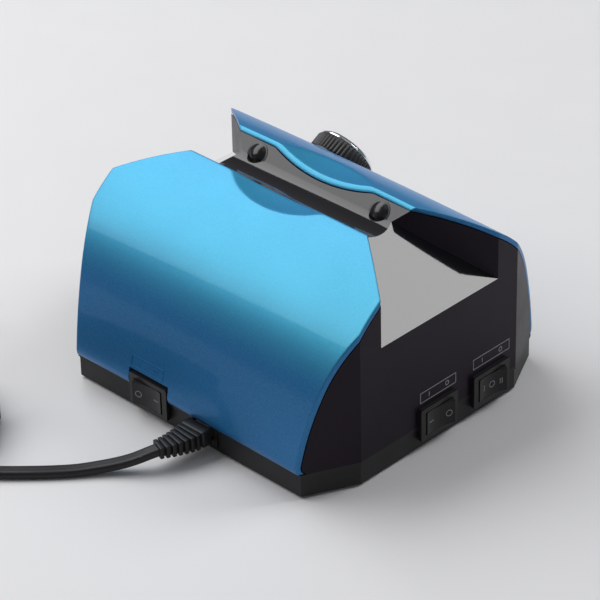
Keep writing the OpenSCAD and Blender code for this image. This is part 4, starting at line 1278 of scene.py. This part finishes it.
def cord_profile(lead, corners=20):
    """Flat twin-core outline with a shallow groove between the cores."""
    outline = []
    for i in range(corners):
        turn = FULL_TURN * (i + 0.5) / corners
        c, s = math.cos(turn), math.sin(turn)
        x = math.copysign(abs(c) ** SHEATH_POWERS[0], c) * lead.width / 2
        y = math.copysign(abs(s) ** SHEATH_POWERS[1], s) * lead.thickness / 2
        groove = math.exp(-((x / (GROOVE_WIDTH * lead.width)) ** 2))
        outline.append((x, y * (1 - GROOVE_DEPTH * groove)))
    return outline


def swept(name, path, outline):
    """A tube of one outline along a path, its flat side down."""
    verts, faces = [], []
    count = len(outline)
    for i, point in enumerate(path):
        ahead = (path[min(i + 1, len(path) - 1)] - path[max(i - 1, 0)]).normalized()
        across = Vector((0, 0, 1)).cross(ahead).normalized()
        upward = ahead.cross(across)
        verts += [point + across * x + upward * y for x, y in outline]
    for i in range(len(path) - 1):
        for k in range(count):
            a, b = i * count + k, i * count + (k + 1) % count
            faces.append((a, b, b + count, a + count))
    faces.append(tuple(range(count - 1, -1, -1)))
    faces.append(tuple(range((len(path) - 1) * count, len(path) * count)))
    mesh = bpy.data.meshes.new(name)
    mesh.from_pydata([tuple(v) for v in verts], [], faces)
    piece = bpy.data.objects.new(name, mesh)
    bpy.context.scene.collection.objects.link(piece)
    edit(piece)
    mend_normals()
    return piece


def model_strap(lead):
    """Soft strap round the turns of the coil, with rounded corners."""
    cx, cy, cz = (value * MM for value in COIL_AT)
    width = 2 * lead.width + 2 * STRAP_ROOM
    height = 4 * lead.thickness + 2 * STRAP_ROOM
    walls = 2 * STRAP_THICKNESS
    strap = block("cord_strap", (width + walls, STRAP_WIDTH, height + walls))
    edit(strap, "EDGE")
    pick(strap, "edges", lambda edge: abs(along(strap, edge).y) > 0.5 * STRAP_WIDTH)
    bpy.ops.mesh.bevel(offset=STRAP_ROUND, segments=6, affect="EDGES")
    bpy.ops.object.mode_set(mode="OBJECT")
    cut_away(strap, [block("room", (width, 2 * STRAP_WIDTH, height))])
    middle = Vector((MIDDLE + cx, cy, cz + 2 * lead.thickness + COIL_LIFT))
    turn = Matrix.Rotation(STRAP_TURN, 4, "Z")
    out = Matrix.Translation((lead.coil_radius, 0, 0))
    settle(strap, Matrix.Translation(middle) @ turn @ out)
    smooth(strap, 40)
    return strap


def along(piece, edge):
    """The run of an edge, end to end."""
    a, b = (piece.data.vertices[i].co for i in edge.vertices)
    return b - a


class NAILDRILL_OT_cord(Operator):
    """Lay the flat mains cord from the connector over the table to its coil and plug"""

    bl_idname = "naildrill.cord"
    bl_label = "Mains cord"

    def execute(self, context):
        lead = context.scene.drill_lead
        points = placed_route(LEAD_ROUTE) + coil_points(lead) + placed_route(TAIL_ROUTE)
        path = even_path(points, CORD_STEP)
        piece = swept("cord_sheath", path, cord_profile(lead))
        smooth(piece, 60)
        finish_piece(piece, BOX, "cord_black", ["mains_cord", "cord_tail", "cord_coil"])
        strap = model_strap(lead)
        finish_piece(strap, BOX, "connector_black", ["cord_tie"])
        run = sum((b - a).length for a, b in zip(path, path[1:]))
        print("cord length", round(run, 4))
        return {"FINISHED"}


# ---- finishes of the parts that keep their shape ----
class NAILDRILL_OT_finishes(Operator):
    """Make every finish and paint the parts that keep their shape"""

    bl_idname = "naildrill.finishes"
    bl_label = "Finishes"

    def execute(self, context):
        FINISH.update(build_finishes(context.scene.drill_colours))
        slots = {part["node"]: part["material_slot"] for part in frame["record"]["subparts"]}
        for node, part in CAD.items():
            part.data.materials.clear()
            part.data.materials.append(FINISH[slots[node]])
        return {"FINISHED"}


# ---- stage ----
VIEW_SHIFT = (-0.1348, -0.0191)
LAMP_AIM = Vector((0, 0, 0.05))
ROOM_COLOUR = (0.80, 0.82, 0.85, 1)
ROOM_STRENGTH = 0.18
FLOOR_SIZE = 14
# Name, place, width, height, power and roll of each lamp.
LAMPS = (
    ("softbox right", (0.765, 0.24, 0.95), 0.86, 1.65, 14.4, 67),
    ("softbox front left", (-0.58, -1.00, 1.10), 0.55, 0.55, 7.6, 0),
    ("softbox above", (-0.30, -0.30, 1.60), 1.20, 1.20, 1.6, 0),
    ("fill left", (-1.30, 0.80, 0.50), 0.80, 0.60, 1.5, 0),
)


class NAILDRILL_OT_stage(Operator):
    """Set up the camera, the pale floor and the soft lamps"""

    bl_idname = "naildrill.stage"
    bl_label = "Stage"

    def execute(self, context):
        stage = context.scene.drill_stage
        self.add_camera(context, stage)
        self.add_floor(context)
        self.add_world(context)
        for name, spot, width, height, power, roll in LAMPS:
            power *= stage.light
            self.add_lamp(context, name, Vector(spot), width, height, power, roll)
        context.scene.view_settings.view_transform = "Standard"
        return {"FINISHED"}

    def add_camera(self, context, stage):
        """Camera from its angles. back points from the box to the camera."""
        az, el, roll = stage.azimuth, stage.elevation, stage.roll
        back = Vector(
            (math.sin(az) * math.cos(el), -math.cos(az) * math.cos(el), math.sin(el))
        )
        right = Vector((math.cos(az), math.sin(az), 0))
        up = back.cross(right)
        right, up = (
            right * math.cos(roll) + up * math.sin(roll),
            up * math.cos(roll) - right * math.sin(roll),
        )
        aim = Vector((MIDDLE, 0, stage.aim_height))
        aim += right * stage.aim_right - up * stage.aim_down
        data = bpy.data.cameras.new("camera")
        data.sensor_width = 36
        data.lens = stage.lens
        data.shift_x, data.shift_y = VIEW_SHIFT
        data.clip_end = 50
        camera = bpy.data.objects.new("camera", data)
        camera.matrix_world = Matrix.Translation(aim + back * stage.distance) @ Matrix(
            (right, up, back)
        ).transposed().to_4x4()
        context.scene.collection.objects.link(camera)
        context.scene.camera = camera

    def add_floor(self, context):
        bpy.ops.mesh.primitive_plane_add(size=FLOOR_SIZE)
        floor = named("floor")
        floor_finish = moulded(
            "floor", context.scene.drill_colours.floor, (0.45, 0.55),
            grain=60.0, bump=0.05, depth=0.0004, drift=0.01,
        )
        floor.data.materials.append(floor_finish)

    def add_world(self, context):
        world = bpy.data.worlds.new("room")
        context.scene.world = world
        world.use_nodes = True
        tree = world.node_tree
        back = next(n for n in tree.nodes if n.type == "BACKGROUND")
        back.inputs["Color"].default_value = ROOM_COLOUR
        back.inputs["Strength"].default_value = ROOM_STRENGTH

    def add_lamp(self, context, name, spot, width, height, power, roll):
        data = bpy.data.lights.new(name, "AREA")
        data.shape = "RECTANGLE"
        data.size = width
        data.size_y = height
        data.energy = power
        lamp = bpy.data.objects.new(name, data)
        lamp.location = spot
        aim = (LAMP_AIM - spot).to_track_quat("-Z", "Y").to_matrix()
        lamp.rotation_euler = (aim @ Matrix.Rotation(math.radians(roll), 3, "Z")).to_euler()
        context.scene.collection.objects.link(lamp)


class NAILDRILL_PT_panel(Panel):
    """Lists the steps of the build"""

    bl_label = "Nail Drill"
    bl_idname = "NAILDRILL_PT_panel"
    bl_space_type = "VIEW_3D"
    bl_region_type = "UI"
    bl_category = "Nail Drill"

    def draw(self, context):
        for step in STEPS:
            self.layout.operator(step.bl_idname)


SETTINGS = (
    ("drill_covers", CoverSizes),
    ("drill_fittings", FittingSizes),
    ("drill_lead", LeadSizes),
    ("drill_colours", Colours),
    ("drill_stage", StageSizes),
)
STEPS = (
    NAILDRILL_OT_stage,
    NAILDRILL_OT_finishes,
    NAILDRILL_OT_cord,
    NAILDRILL_OT_connector,
    NAILDRILL_OT_covers,
    NAILDRILL_OT_bumpers,
    NAILDRILL_OT_knob,
    NAILDRILL_OT_marks,
)


def register():
    for name, settings in SETTINGS:
        bpy.utils.register_class(settings)
        setattr(bpy.types.Scene, name, PointerProperty(type=settings))
    for step in STEPS:
        bpy.utils.register_class(step)
    bpy.utils.register_class(NAILDRILL_PT_panel)


def unregister():
    bpy.utils.unregister_class(NAILDRILL_PT_panel)
    for step in reversed(STEPS):
        bpy.utils.unregister_class(step)
    for name, settings in reversed(SETTINGS):
        delattr(bpy.types.Scene, name)
        bpy.utils.unregister_class(settings)


def main():
    register()
    clear_selection()
    for step in STEPS:
        group_name, step_name = step.bl_idname.split(".")
        getattr(getattr(bpy.ops, group_name), step_name)()


if __name__ == "__main__":
    main()
